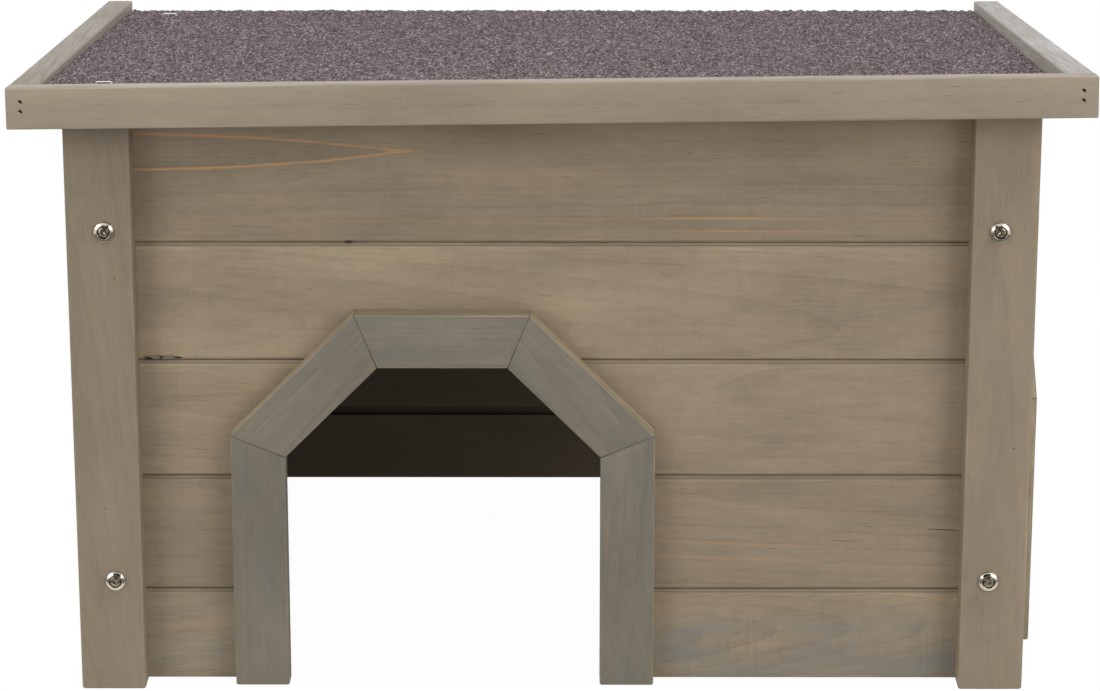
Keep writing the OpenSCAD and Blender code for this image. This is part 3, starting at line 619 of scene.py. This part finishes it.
class HIDEOUT_OT_planks(bpy.types.Operator):
    """Builds the tongue-and-groove planks of the four walls"""
    bl_idname = "hideout.planks"
    bl_label = "Planks"

    def execute(self, context):
        values, colours = settings()
        material = stained_pine("stained_pine_planks", colours.planks, colours.rubbed_and_lit_edges, wear_and_light_strength=0.4,
                                tint=0.10, contrast=1.25, pore_start=0.69)
        # Sides of the wall's entrance, axes along and across the wall, and the way inwards
        walls = {
            "front": (("left", "right"), 0, 1, 1.0),
            "right": (("front", "back"), 1, 0, -1.0),
            "left": (None, 1, 0, 1.0),
            "back": (None, 0, 1, -1.0),
        }
        seed = 1
        for wall, (sides, axis, cross, inward) in walls.items():
            opening = entrance("front" if wall == "front" else "side", sides) if sides else None
            for row in range(1, ROWS + 1):
                split = sides if sides and row <= SPLIT_ROWS else (None,)
                for side, toward in zip(split, (1, -1)):
                    seed += 1
                    name = f"{wall}_plank_{row}" + (f"_{side}" if side else "")
                    self.plank(name, row, toward if side else 0, opening, axis, cross, inward, values, material, seed)
        return {"FINISHED"}

    def plank(self, name, row, toward, opening, axis, cross, inward, values, material, seed):
        """One plank. Toward is 1 for the half before an entrance, -1 for the half after it and 0 for a whole one."""
        low, high = box(name)
        thickness = high[cross] - low[cross]
        outer = low[cross] if inward > 0 else high[cross]
        last = row == ROWS
        top = high[2] if last else high[2] - values["tongue"]
        special = dict(FIGURED_PLANKS.get(name, {}))
        heights = special.pop("heights", [])
        folded = False
        if toward:
            middle, half, elbow, *_ = opening
            lap = values["entrance_lap"]
            knee = elbow + lap * MITRE
            folded = low[2] < knee < top
        outline, edge, at_top = plank_outline(low[2], top, thickness, row == 1, last, values,
                                              sorted(heights + ([knee] if folded else [])))
        starts, ends = low[axis], high[axis]
        if toward:
            reach = middle - toward * (half + lap) + toward * np.maximum(outline[:, 0] - knee, 0)
            starts, ends = (starts, reach) if toward > 0 else (reach, ends)
        cut = (toward, *np.flatnonzero(outline[:, 0] == knee)[:2]) if folded else None
        rise = 0.0
        if last:
            y = outer + inward * outline[:, 1] if axis == 0 else 0.0
            outline[:, 0] = np.where(at_top > 0, under_roof(y, values, values["seat_gap"]), outline[:, 0])
            rise = np.where(at_top > 0, -math.tan(values["roof_slope"]), 0.0) if axis == 1 else 0.0
        place = [outer * np.eye(3)[cross], np.eye(3)[axis], (0, 0, 1), inward * np.eye(3)[cross]]
        tones = PLANK_TONES.get(name, (1.0, 1.0))
        # The inner faces are a quarter darker as painted shade for the dark inside of the house
        inner_painted_shade = np.where(outline[:, 1] > 0.9 * thickness, 0.75, 1.0)
        carry(name, outline, edge, starts, ends, place, material, "house", "stained_planks", seed, rise=rise,
              cut=cut, tone=lambda along: np.interp(along, (low[axis], high[axis]), tones) * inner_painted_shade, **special)


# Tones of the posts on each side at the foot and 350 mm up, darker upwards as painted shade under the roof
POST_PAINTED_SHADE = {"left": (1.02, 0.85), "right": (1.04, 0.98)}


class HIDEOUT_OT_posts(bpy.types.Operator):
    """Builds the four corner posts"""
    bl_idname = "hideout.posts"
    bl_label = "Corner posts"

    def execute(self, context):
        values, colours = settings()
        material = stained_pine("stained_pine_posts", colours.posts, colours.rubbed_and_lit_edges, wear_and_light_strength=0.3, tint=0.08,
                                contrast=0.9)
        for seed, (end, side) in enumerate(CORNERS, 60):
            name = f"{end}_post_{side}"
            low, high = box(name)
            outline, edge = rounded_outline(high[0] - low[0], high[1] - low[1], values["post_round"],
                                            inner_radius=0.5, arris=0.7)
            inward, outer = (1.0, low[1]) if end == "front" else (-1.0, high[1])
            y = outer + inward * outline[:, 1]
            tops = high[2] - (y - low[1]) * math.tan(values["roof_slope"])
            place = [(low[0], outer, 0), (0, 0, 1), (1, 0, 0), (0, inward, 0)]
            # The tone falls towards the top as painted shade
            foot, head = POST_PAINTED_SHADE[side]
            carry(name, outline, edge, low[2], tops, place, material, "house", "stained_posts", seed, ease=1.6,
                  tone=lambda z: foot + (head - foot) * z / 350, stations=9)
        return {"FINISHED"}


class HIDEOUT_OT_battens(bpy.types.Operator):
    """Builds the four square battens inside the corners"""
    bl_idname = "hideout.battens"
    bl_label = "Corner battens"

    def execute(self, context):
        values, colours = settings()
        material = stained_pine("bare_pine_battens", colours.bare_wood, colours.bare_wood, wear_and_light_strength=0.1, tint=0.0,
                                contrast=0.8)
        for seed, (end, side) in enumerate(CORNERS, 70):
            name = f"corner_batten_{end}_{side}"
            low, high = box(name)
            outline, edge = rounded_outline(high[0] - low[0], high[1] - low[1], 0.8, 0.8)
            tops = high[2] - outline[:, 1] * math.tan(values["roof_slope"])
            place = [(low[0], low[1], 0), (0, 0, 1), (1, 0, 0), (0, 1, 0)]
            carry(name, outline, edge, low[2], tops, place, material, "house", "plain_wood", seed)
        return {"FINISHED"}


# How the frames' members are finished: paleness of the outer side, from wear and from painted light where that
# side faces up, planer line, rounding of the ends, tone, and the edge value at each end
FRAME_FINISH = {
    "leg": (0.9, 0.0, (1.3, 0.4), 0.97, (0.3, -0.9)),
    "brace": (0.9, 0.24, 0.4, 1.02, (-0.9, -0.9)),
    "head": (0.35, 0.12, 0.4, 1.02, (-0.9, -0.9)),
}


class HIDEOUT_OT_frames(bpy.types.Operator):
    """Builds the mitred frames round the two entrances"""
    bl_idname = "hideout.frames"
    bl_label = "Entrance frames"

    def execute(self, context):
        values, colours = settings()
        material = stained_pine("stained_pine_frames", colours.frames, colours.rubbed_and_lit_edges, wear_and_light_strength=0.95, tint=0.3,
                                contrast=1.15)
        seed, up = 80, np.array([0, 0, 1.0])
        for wall, sides, axis, cross, outward in (("front", ("left", "right"), 0, 1, -1.0),
                                                  ("side", ("front", "back"), 1, 0, 1.0)):
            middle, half, elbow, head, width = entrance(wall, sides)
            low, high = box(f"{wall}_frame_head")
            thickness = high[cross] - low[cross]
            face = low[cross] if outward < 0 else high[cross]
            foot = box(f"{wall}_frame_leg_{sides[0]}")[0][2]
            step, drop = width * MITRE, head - elbow
            # Where the inner edge starts, its angle and length, and what the mitres add to each end outside
            members = {
                "leg": ((-half, foot), 90, elbow - foot, 0, step),
                "brace": ((-half, elbow), 45, drop * math.sqrt(2), step, step),
                "head": ((drop - half, head), 0, 2 * (half - drop), step, step),
            }
            for kind, ((aside, height), angle, run, first, last) in members.items():
                wear_and_painted_light, planer_line, ease, tone, end_edge = FRAME_FINISH[kind]
                outline, edge = rounded_outline(width, thickness, values["frame_round"], inner_radius=0.4, arris=0.3,
                                                far_side=wear_and_painted_light, planer_line=planer_line)
                outward_share = outline[:, 0] / width
                c, s = math.cos(math.radians(angle)), math.sin(math.radians(angle))
                for side, sign in zip(sides if kind != "head" else (None,), (1.0, -1.0)):
                    seed += 1
                    name = f"{wall}_frame_{kind}" + (f"_{side}" if side else "")
                    wall_axis = sign * np.eye(3)[axis]
                    origin = np.eye(3)[axis] * middle + wall_axis * aside + up * height
                    origin[cross] = face
                    place = [origin, c * wall_axis + s * up, c * up - s * wall_axis, -outward * np.eye(3)[cross]]
                    carry(name, outline, edge, -first * outward_share, run + last * outward_share, place, material,
                          "house", "stained_frames", seed, ease=ease, tone=tone, end_edge=end_edge)
        return {"FINISHED"}


class HIDEOUT_OT_roof_board(bpy.types.Operator):
    """Builds the board under the felt"""
    bl_idname = "hideout.roof_board"
    bl_label = "Roof board"

    def execute(self, context):
        values, colours = settings()
        material = stained_pine("bare_pine_board", colours.bare_wood, colours.bare_wood, wear_and_light_strength=0.1, tint=0.0,
                                contrast=0.8)
        origin, x, y, z = roof_axes(values)
        front, back, width = roof_extent(values)
        outline, edge = rounded_outline(back - front, values["board_thickness"], 0.6, 0.6)
        carry("roof_board", outline, edge, -width / 2, width / 2, [origin + front * y, x, y, z], material,
              "roof", "plain_wood", 95)
        return {"FINISHED"}


def front_trim_tone(along):
    """Tone of the front trim: paler towards both ends, a little more so towards the left one."""
    t = along / 300
    return 1.065 + 0.095 * t ** 2 - 0.015 * t


class HIDEOUT_OT_roof_trims(bpy.types.Operator):
    """Builds the front and side trims of the roof"""
    bl_idname = "hideout.roof_trims"
    bl_label = "Roof trims"

    def execute(self, context):
        values, colours = settings()
        # The trims' tops take these pale colours, through far_side below, as painted sheen and light from above
        stained, sheen_painted = (
            stained_pine(name, colours.trims, top, wear_and_light_strength=0.75, tint=0.1, contrast=0.8, pore_start=0.67)
            for name, top in (("stained_pine_trims", colours.painted_sheen_tops),
                              ("sheen_painted_pine_trim", colours.painted_sheen_right_top)))
        origin, x, y, z = roof_axes(values)
        front, back, width = roof_extent(values)
        thick, height, drop = values["trim_thickness"], values["trim_height"], values["trim_drop"]
        whole = width + 2 * thick
        slim = 0.07  # a hair, so that the sharper edges stay in the frame's box
        outline, edge = rounded_outline(height - 2 * slim, thick - 2 * slim, values["trim_round"],
                                        values["trim_round"], arris=0.35, far_side=1.0, inner_face=0.6)
        outline = outline + slim
        # The front trim leans to the right by the skew, and each side trim tips by half of it
        lean = math.asin(values["roof_skew"] / whole)
        middle = origin + (front - thick) * y + (height / 2 - drop) * z
        run, up = math.cos(lean) * x + math.sin(lean) * z, math.cos(lean) * z - math.sin(lean) * x
        carry("roof_trim_front", outline, edge, -whole / 2, whole / 2, [middle - height / 2 * up, run, up, y],
              stained, "roof", "stained_trims", 96, ease=0.8, tone=front_trim_tone, stations=13)
        tip = math.atan(values["roof_skew"] / 2 / (back - front + thick))
        butt_gap = 0.3
        for seed, side, sign, material, tone in ((97, "left", -1.0, stained, 0.91),
                                                 (98, "right", 1.0, sheen_painted, 1.19)):
            run = math.cos(tip) * y - sign * math.sin(tip) * z
            up = math.cos(tip) * z + sign * math.sin(tip) * y
            start = origin + back * y + sign * whole / 2 * x - drop * up
            carry(f"roof_trim_{side}", outline, edge, front + butt_gap - back, 0.0, [start, run, up, -sign * x],
                  material, "roof", "stained_trims", seed, ease=0.6, tone=tone)
        return {"FINISHED"}


class HIDEOUT_OT_felt(bpy.types.Operator):
    """Builds the felt with its granules"""
    bl_idname = "hideout.felt"
    bl_label = "Roof felt"

    def execute(self, context):
        values, colours = settings()
        material = mineral_felt("mineral_felt", colours.felt)
        origin, x, y, z = roof_axes(values)
        front, back, width = roof_extent(values)
        gap, closer = 0.3, 1.42  # gap to the trims, and how much closer granules lie across the roof than along it
        across = np.linspace(-width / 2 + gap, width / 2 - gap, int(width / values["granule"] * closer))
        along = np.linspace(front + gap, back, int((back - front) / values["granule"]))
        base, top = values["board_thickness"], values["board_thickness"] + values["felt_thickness"]
        u, v = np.meshgrid(across, along, indexing="ij")
        # Height: each grid point stands up or down by chance, and a little with its neighbours across
        chance = np.random.default_rng(11).normal(0, 1, u.shape)
        stand = chance + 0.2 * (np.roll(chance, 1, 0) + np.roll(chance, -1, 0))
        stand, chance = (np.clip(heap / heap.std(), -2, 2) for heap in (stand, chance))
        sunk, swing, fray = 0.9, 0.54, 0.5
        height = top - sunk + swing * stand
        v[:, -1] += fray * np.random.default_rng(12).uniform(-1, 0, len(across))
        points = (origin + u[..., None] * x + v[..., None] * y + height[..., None] * z).reshape(-1, 3)
        # Faces: the grid, a skirt from its rim down to the board, and the underside
        rows, columns = u.shape
        number = np.arange(rows * columns).reshape(rows, columns)
        quads = np.stack([number[:-1, :-1], number[1:, :-1], number[1:, 1:], number[:-1, 1:]], -1).reshape(-1, 4)
        rim = np.concatenate([number[:, 0], number[-1, 1:], number[-2::-1, -1], number[0, -2:0:-1]])
        foot = points[rim] - (height.reshape(-1)[rim] - base)[:, None] * z
        low = rows * columns + np.arange(len(rim))
        skirt = np.stack([rim, np.roll(rim, -1), np.roll(low, -1), low], -1)
        faces = quads.tolist() + skirt.tolist() + [low.tolist()]
        # Lift, which the felt's colour follows as painted shade and light: each point's chance of standing up, low on
        # the skirt
        lift = np.concatenate([0.5 + 0.25 * chance.reshape(-1), np.full(len(rim), 0.2)])
        mesh_piece("felt_with_granules", np.concatenate([points, foot]), faces, {"lift": lift}, material, "roof",
                   ["roof_felt"], smooth=60)
        return {"FINISHED"}


def screw_places(values):
    """Places of the corner screws on the posts' faces, front and back, each with its outward axis."""
    low, high = box("corner_washers")
    rim = 6.0  # a washer's radius
    x, foot, head = high[0] - rim, low[2] + rim, high[2] - rim
    front, back = box("front_post_left")[0][1], box("back_post_left")[1][1]
    fall = (back - front) * math.tan(values["roof_slope"])
    return [([(s * x, front, z) for s in (-1, 1) for z in (foot, head)], (0, -1, 0)),
            ([(s * x, back, z) for s in (-1, 1) for z in (foot, head - fall)], (0, 1, 0))]


def cross_recess(radius, angle, height):
    """Depth of a screw's cross: two crossed arms with sloping walls, deepest in the middle, cut into the dome."""
    turn, half_width, slope, reach, end_slope, depth, dome_from = 0.6, 0.75, 0.35, 2.4, 0.5, 1.7, 2.02
    a, b = np.abs(radius * np.cos(angle + turn)), np.abs(radius * np.sin(angle + turn))
    narrow, far = np.minimum(a, b), np.maximum(a, b)
    wall = np.clip((half_width - narrow) / slope, 0, 1) * np.clip((reach - far) / end_slope, 0, 1)
    return depth * wall * (1 - far / 4) * (height > dome_from)


class HIDEOUT_OT_corner_screws(bpy.types.Operator):
    """Builds the corner screws and their cup washers"""
    bl_idname = "hideout.corner_screws"
    bl_label = "Corner screws"

    def execute(self, context):
        values, colours = settings()
        # Cup washer: a rolled rim, a steep wall and a broad cone round the countersink
        roll = np.radians(np.linspace(0, 90, 8))
        cone = np.linspace(5.5, 4.0, 6)
        cup = np.concatenate([
            [(2.15, 0.5), (2.3, 0.02), (5.7, 0.02)],
            np.stack([5.7 + 0.28 * np.sin(2 * roll), 0.2 - 0.18 * np.cos(2 * roll)], -1),
            [(5.88, 0.6), (5.8, 1.2), (5.67, 1.55)],
            np.stack([cone, 1.68 + 0.5 * (5.5 - cone)], -1),
            [(3.85, 2.43), (3.72, 2.3), (3.6, 1.9), (2.15, 0.55)],
        ])
        # Screw: a point, a shank, a countersunk head and a low dome with a cross recess
        dome = np.linspace(3.25, 0.05, 30)
        screw = np.concatenate([
            [(0.05, -42), (2.0, -38), (2.0, 0.5), (3.15, 1.85), (3.25, 2.0)],
            np.stack([dome, 2.05 + 0.7 * (1 - (dome / 3.25) ** 2)], -1)[1:],
        ])
        # Painted shade lies in the washer's countersink and under its rim, and round the screw's dome
        cup_painted_shade = np.where(cup[:, 0] < 3.7, -1.0, np.where(cup[:, 1] < 0.35, -0.7, 0.0))
        screw_painted_shade = np.zeros(len(screw))
        screw_painted_shade[4:9] = -0.6
        nickel = plated_steel("nickel_plated_steel", colours.nickel, rough=0.14, wear_size=3)
        bronzed = plated_steel("bronzed_steel", colours.screws, rough=0.24, wear_size=0.8)
        steps = 72
        for name, profile, edge, material, slot, node, turned in (
                ("cup_washers", cup, cup_painted_shade, nickel, "nickel_washers", "corner_washers", None),
                ("cross_head_screws", screw, screw_painted_shade, bronzed, "zinc_screws", "corner_screws", cross_recess)):
            tubes = [tube for places, axis in screw_places(values)
                     for tube in revolve(profile, places, axis, steps, turned)]
            points, faces = joined(tubes)
            edges = np.tile(np.repeat(edge, steps), len(tubes))
            mesh_piece(name, points, faces, {"edge": edges}, material, "house", [node], smooth=50)
        return {"FINISHED"}


class HIDEOUT_OT_hardware(bpy.types.Operator):
    """Finishes the hinges, their screws and the brads, which keep their frame shapes"""
    bl_idname = "hideout.hardware"
    bl_label = "Hinges and brads"

    def execute(self, context):
        _, colours = settings()
        steel = plated_steel("zinc_plated_steel", colours.zinc, rough=0.38, wear_size=2)
        darker = plated_steel("zinc_plated_screws", [0.55 * c for c in colours.zinc], rough=0.28,
                              wear_size=0.8)
        names = [f"hinge_{leaf}_leaf_{side}" for leaf in ("post", "roof") for side in ("left", "right")]
        names += ["hinge_pins", "hinge_post_screws", "hinge_roof_screws", "panel_brads", "trim_brads"]
        for name in names:
            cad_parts[name].material_slots[0].material = darker if name.endswith("_screws") else steel
        return {"FINISHED"}


class HIDEOUT_OT_nail_marks(bpy.types.Operator):
    """Builds the small dark holes over the brads in the front trim and the pinholes in the front posts"""
    bl_idname = "hideout.nail_marks"
    bl_label = "Nail marks"

    def execute(self, context):
        values, _ = settings()
        # The holes are painted nearly black as the shade inside them, with paler rims
        material = hole_with_painted_shade("nail_hole_painted_shade", "#6F6454")
        dish = np.array([(0.02, -0.3), (0.75, -0.3), (0.95, 0.0), (0.95, 0.05), (0.72, 0.06), (0.02, 0.05)])
        origin, x, y, z = roof_axes(values)
        front, _, width = roof_extent(values)
        thick, top = values["trim_thickness"], values["trim_height"] - values["trim_drop"]
        whole = width + 2 * thick
        at = (whole - thick) / 2
        skew = values["roof_skew"] * at / whole
        holes = [origin + s * at * x + (front - thick) * y + (top - down + s * skew) * z
                 for s in (-1, 1) for down in (8, 13.5)]
        face = box("front_post_left")[0][1]
        pins = [(-252.7, face, 253.4), (-262.1, face, 113.3), (270.2, face, 150.6)]
        steps, torn = 24, 0.3
        for name, places, axis, size, dust, body, slot in (
                ("trim_nail_holes", holes, -y, 1.1, 0.0, "roof", "stained_trims"),
                ("post_pinholes", pins, (0, -1, 0), 0.5, 0.7, "house", "stained_posts")):
            points, faces = joined(revolve(dish * (size, 1.0), places, axis, steps, torn=torn))
            edge = np.tile(np.repeat([dust, dust, 1, 1, max(dust, 0.1), dust], steps), len(places))
            mesh_piece(name, points, faces, {"edge": edge}, material, body, smooth=50)
        return {"FINISHED"}


# Splits in the front planks: from x and z, to x and z, height, seed and dust, which is 0 for a split painted
# nearly black as its shade and 1 for torn grey fibres
SPLITS = (
    (-240.0, 201.6, -217.0, 200.8, 3.6, 1, 1.0), (-239.0, 200.5, -234.0, 200.2, 2.2, 6, 0.0),
    (-230.5, 201.1, -227.5, 200.8, 3.2, 7, 0.0), (-222.5, 201.0, -216.5, 200.6, 2.2, 8, 0.0),
    (222.5, 95.1, 243.0, 94.0, 0.8, 2, 0.35), (165.0, 87.6, 184.0, 87.3, 0.5, 3, 0.8),
    (128.0, 82.5, 133.0, 82.5, 0.5, 4, 0.8), (-120.5, 270.6, -116.0, 270.6, 1.6, 5, 0.1),
)


class HIDEOUT_OT_plank_splits(bpy.types.Operator):
    """Builds the torn edge and the hairline splits that show in the front planks"""
    bl_idname = "hideout.plank_splits"
    bl_label = "Plank splits"

    def execute(self, context):
        # The splits are painted nearly black as the shade inside them where dust is 0
        material = hole_with_painted_shade("split_painted_shade", "#7E7467")
        face = box("front_plank_4")[0][1]
        # Each split is a sliver: at u along it, its half height is the full one times a bow of u and a ragged factor
        u = np.linspace(0, 1, 33)
        tubes, edges = [], []
        for low, low_z, high, high_z, tall, seed, dust in SPLITS:
            above, below = np.random.default_rng(seed).uniform(0.35, 1.0, (2, len(u)))
            bow = np.sin(np.pi * u) ** 0.5 * tall / 2 + 0.02
            x, z = low + u * (high - low), low_z + u * (high_z - low_z)
            rim, middle = (np.concatenate([np.stack([x, upper], -1), np.stack([x, lower], -1)[::-1]])
                           for upper, lower in ((z + bow * above, z - bow * below), (z, z)))
            rings = [(rim, 0.6), (rim, -0.05), (0.35 * rim + 0.65 * middle, -0.06)]
            points = np.concatenate([np.insert(ring, 1, face + depth, axis=1) for ring, depth in rings])
            tubes.append((points, tube_faces(len(rings), len(rim))))
            edges.append(np.repeat([dust, max(dust, 0.45), dust], len(rim)))
        points, faces = joined(tubes)
        mesh_piece("plank_splits", points, faces, {"edge": np.concatenate(edges)}, material, "house")
        return {"FINISHED"}


class HIDEOUT_OT_felt_staples(bpy.types.Operator):
    """Builds the two wire staples that show on the felt"""
    bl_idname = "hideout.felt_staples"
    bl_label = "Felt staples"

    def execute(self, context):
        values, colours = settings()
        wire = plated_steel("galvanised_wire", colours.wire, rough=0.5, wear_size=1)
        origin, x, y, z = roof_axes(values)
        top = values["board_thickness"] + values["felt_thickness"]
        half, bend, sunk, lifted = 4.4, 0.9, 3.0, 0.2
        half_thick, half_broad = 0.45, 0.9
        # Path: up out of the felt, over a rounded bend, along the crown and down again
        t = np.radians(np.linspace(0, 90, 6))
        rising = np.stack([-half + bend * (1 - np.cos(t)), -bend + bend * np.sin(t)], -1)
        path = np.concatenate([[(-half, -sunk)], rising, rising[::-1] * (-1, 1), [(half, -sunk)]])
        way = np.gradient(path, axis=0)
        way /= np.linalg.norm(way, axis=1)[:, None]
        # Section: an ellipse square to the path
        angle = np.linspace(0, 2 * np.pi, 12, endpoint=False)
        run = path[:, None, 0] - half_thick * np.sin(angle) * way[:, None, 1]
        lift = path[:, None, 1] + half_thick * np.sin(angle) * way[:, None, 0]
        aside = np.broadcast_to(half_broad * np.cos(angle), run.shape)
        tubes = []
        for middle, back, turn in ((-257.8, 21.0, 0.05), (-261.6, 421.0, -0.12)):
            c, s = math.cos(turn), math.sin(turn)
            points = (origin + (middle + c * run - s * aside)[..., None] * x
                      + (back + s * run + c * aside)[..., None] * y + (top + lifted + lift)[..., None] * z)
            tubes.append((points.reshape(-1, 3), tube_faces(*run.shape)))
        points, faces = joined(tubes)
        mesh_piece("felt_staples", points, faces, {}, wire, "roof", smooth=50)
        return {"FINISHED"}


# Studio


def studio_piece(name, points, faces):
    """A flat mesh of the studio, which isn't part of the object."""
    mesh = bpy.data.meshes.new(name)
    mesh.from_pydata(points, [], faces)
    piece = bpy.data.objects.new(name, mesh)
    bpy.context.scene.collection.objects.link(piece)
    return piece


class HIDEOUT_OT_stage(bpy.types.Operator):
    """Builds the pale floor, the lights and the camera"""
    bl_idname = "hideout.stage"
    bl_label = "Studio"

    def execute(self, context):
        scene = context.scene
        self.floor()
        self.dark_cards()
        self.world(scene)
        # Power in watts, size, place and aim in metres
        for name, power, size, place, aim in (
                ("overhead_softbox", 29.5, 2.4, (0.0, -0.5, 2.6), (0.0, 0.0, 0.2)),
                ("left_softbox", 25.8, 1.6, (-2.0, -2.2, 1.3), (0.0, -0.1, 0.2)),
                ("right_softbox", 31.5, 1.6, (2.0, -2.2, 1.3), (0.0, -0.1, 0.2)),
                ("back_softbox", 13.0, 0.9, (0.0, 2.8, 0.45), (0.0, 0.1, 0.15))):
            lamp = bpy.data.lights.new(name, "AREA")
            lamp.energy, lamp.size = power, size
            holder = bpy.data.objects.new(name, lamp)
            scene.collection.objects.link(holder)
            holder.visible_camera = False
            holder.visible_glossy = name != "back_softbox"
            holder.location = place
            back = np.array(place) - np.array(aim)
            back /= np.linalg.norm(back)
            holder.rotation_euler = (math.acos(back[2]), 0, math.atan2(back[0], -back[1]))
        # The camera stands about 2 m in front of the posts and looks a little down
        focal_pixels, image_pixels, sensor = 3650, 1100, 36.0
        tilt, turn = 74.2, 0.123
        lens = bpy.data.cameras.new("studio_camera")
        lens.sensor_width, lens.lens = sensor, sensor * focal_pixels / image_pixels
        camera = bpy.data.objects.new("studio_camera", lens)
        camera.location = (0.00325, box("front_post_left")[0][1] * MM - 2.0385, 0.790)
        camera.rotation_euler = (math.radians(tilt), 0.0, math.radians(turn))
        scene.collection.objects.link(camera)
        scene.camera = camera
        scene.view_settings.view_transform = "Standard"
        return {"FINISHED"}

    def floor(self):
        """A flat square of studio paper. The camera and mirrors see it nearly white with a faint shadow, other light
        sees grey paper, dark under the house, where mirrors see half of each."""
        half, house, soft = 6.0, (0.27, 0.19, 0.0), 0.02
        floor = studio_piece("studio_floor", [(-half, -half, 0), (half, -half, 0), (half, half, 0), (-half, half, 0)],
                             [(0, 1, 2, 3)])
        material, add = new_material("studio_paper")
        path = add("LightPath")
        place = add("TexCoord")["Object"]
        away = add("VectorMath", {0: place}, operation="ABSOLUTE")[0]
        away = add("VectorMath", {0: away, 1: house}, operation="SUBTRACT")[0]
        away = add("SeparateXYZ", {0: away})
        away = add("Math", {0: away["X"], 1: away["Y"]}, operation="MAXIMUM")[0]
        bounce = add("MapRange", {"Value": away, "From Max": soft, "To Min": 0.06, "To Max": 0.70})[0]
        outside = add("MapRange", {"Value": away, "From Max": soft, "To Min": 0.45})[0]
        seen = add("Math", {0: path["Is Glossy Ray"], 1: path["Is Transmission Ray"]}, operation="MAXIMUM")[0]
        seen = add("Math", {0: seen, 1: outside}, operation="MULTIPLY")[0]
        seen = add("Math", {0: seen, 1: path["Is Camera Ray"]}, operation="MAXIMUM")[0]
        share = add("Math", {0: seen, 1: 0.94}, operation="MULTIPLY")[0]
        paper = add("BsdfDiffuse", {"Color": bounce})[0]
        bright = add("Emission", {"Color": shaded(linear("#FFFFFF")), "Strength": 1.04})[0]
        mixed = add("MixShader", {0: share, 1: paper, 2: bright})[0]
        add("OutputMaterial", {"Surface": mixed})
        floor.data.materials.append(material)

    def dark_cards(self):
        """Cards of flock that only mirrors see, as in a darkened studio: black ones behind the camera and over the
        house, and a grey one low in front of it."""
        card = studio_piece("dark_card", [
            (-2.6, -3.6, 0.0), (2.6, -3.6, 0.0), (2.6, -3.6, 2.6), (-2.6, -3.6, 2.6),
            (-0.45, -1.8, 2.4), (0.45, -1.8, 2.4), (0.45, 0.8, 2.4), (-0.45, 0.8, 2.4),
            (-0.9, -3.0, 0.002), (0.9, -3.0, 0.002), (0.9, -0.3, 0.002), (-0.9, -0.3, 0.002)],
            [(0, 1, 2, 3), (4, 5, 6, 7), (8, 9, 10, 11)])
        card.visible_camera = card.visible_diffuse = card.visible_shadow = card.visible_transmission = False
        for name, code in (("black_flock", "#191919"), ("grey_flock", "#818181")):
            material, add = new_material(name)
            shader = add("BsdfDiffuse", {"Color": shaded(linear(code))})[0]
            add("OutputMaterial", {"Surface": shader})
            card.data.materials.append(material)
        card.data.polygons[2].material_index = 1

    def world(self, scene):
        """White to the camera and to mirrors, a soft dim sky to everything else."""
        world = bpy.data.worlds.new("studio_sky")
        world.use_nodes = True
        world.node_tree.nodes.clear()
        add = partial(add_node, world.node_tree)
        path = add("LightPath")
        seen = add("Math", {0: path["Is Camera Ray"], 1: path["Is Glossy Ray"]}, operation="MAXIMUM")[0]
        seen = add("Math", {0: seen, 1: path["Is Transmission Ray"]}, operation="MAXIMUM")[0]
        strength = add("MapRange", {"Value": seen, "To Min": 0.32, "To Max": 1.0})[0]
        sky = add("Background", {"Color": shaded(linear("#FFFFFF")), "Strength": strength})[0]
        add("OutputWorld", {"Surface": sky})
        scene.world = world


OPERATORS = (
    HIDEOUT_OT_stage, HIDEOUT_OT_planks, HIDEOUT_OT_posts, HIDEOUT_OT_battens, HIDEOUT_OT_frames,
    HIDEOUT_OT_roof_board, HIDEOUT_OT_roof_trims, HIDEOUT_OT_felt, HIDEOUT_OT_corner_screws, HIDEOUT_OT_hardware,
    HIDEOUT_OT_nail_marks, HIDEOUT_OT_plank_splits, HIDEOUT_OT_felt_staples,
)


class HIDEOUT_PT_sidebar(bpy.types.Panel):
    """Lists the hideout's sizes, colours and operators"""
    bl_idname = "HIDEOUT_PT_sidebar"
    bl_label = "Hideout"
    bl_space_type = "VIEW_3D"
    bl_region_type = "UI"
    bl_category = "Hideout"

    def draw(self, context):
        for group in (context.scene.hideout_sizes, context.scene.hideout_colours):
            column = self.layout.column(align=True)
            for key in type(group).__annotations__:
                column.prop(group, key)
        for operator in OPERATORS:
            self.layout.operator(operator.bl_idname)


CLASSES = (HideoutSizes, HideoutColours) + OPERATORS + (HIDEOUT_PT_sidebar,)


def register():
    for kind in CLASSES:
        bpy.utils.register_class(kind)
    bpy.types.Scene.hideout_sizes = bpy.props.PointerProperty(type=HideoutSizes)
    bpy.types.Scene.hideout_colours = bpy.props.PointerProperty(type=HideoutColours)


def unregister():
    del bpy.types.Scene.hideout_sizes
    del bpy.types.Scene.hideout_colours
    for kind in reversed(CLASSES):
        bpy.utils.unregister_class(kind)


def main():
    """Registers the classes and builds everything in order."""
    register()
    for operator in OPERATORS:
        getattr(bpy.ops.hideout, operator.bl_idname.removeprefix("hideout."))()


if __name__ == "__main__":
    main()
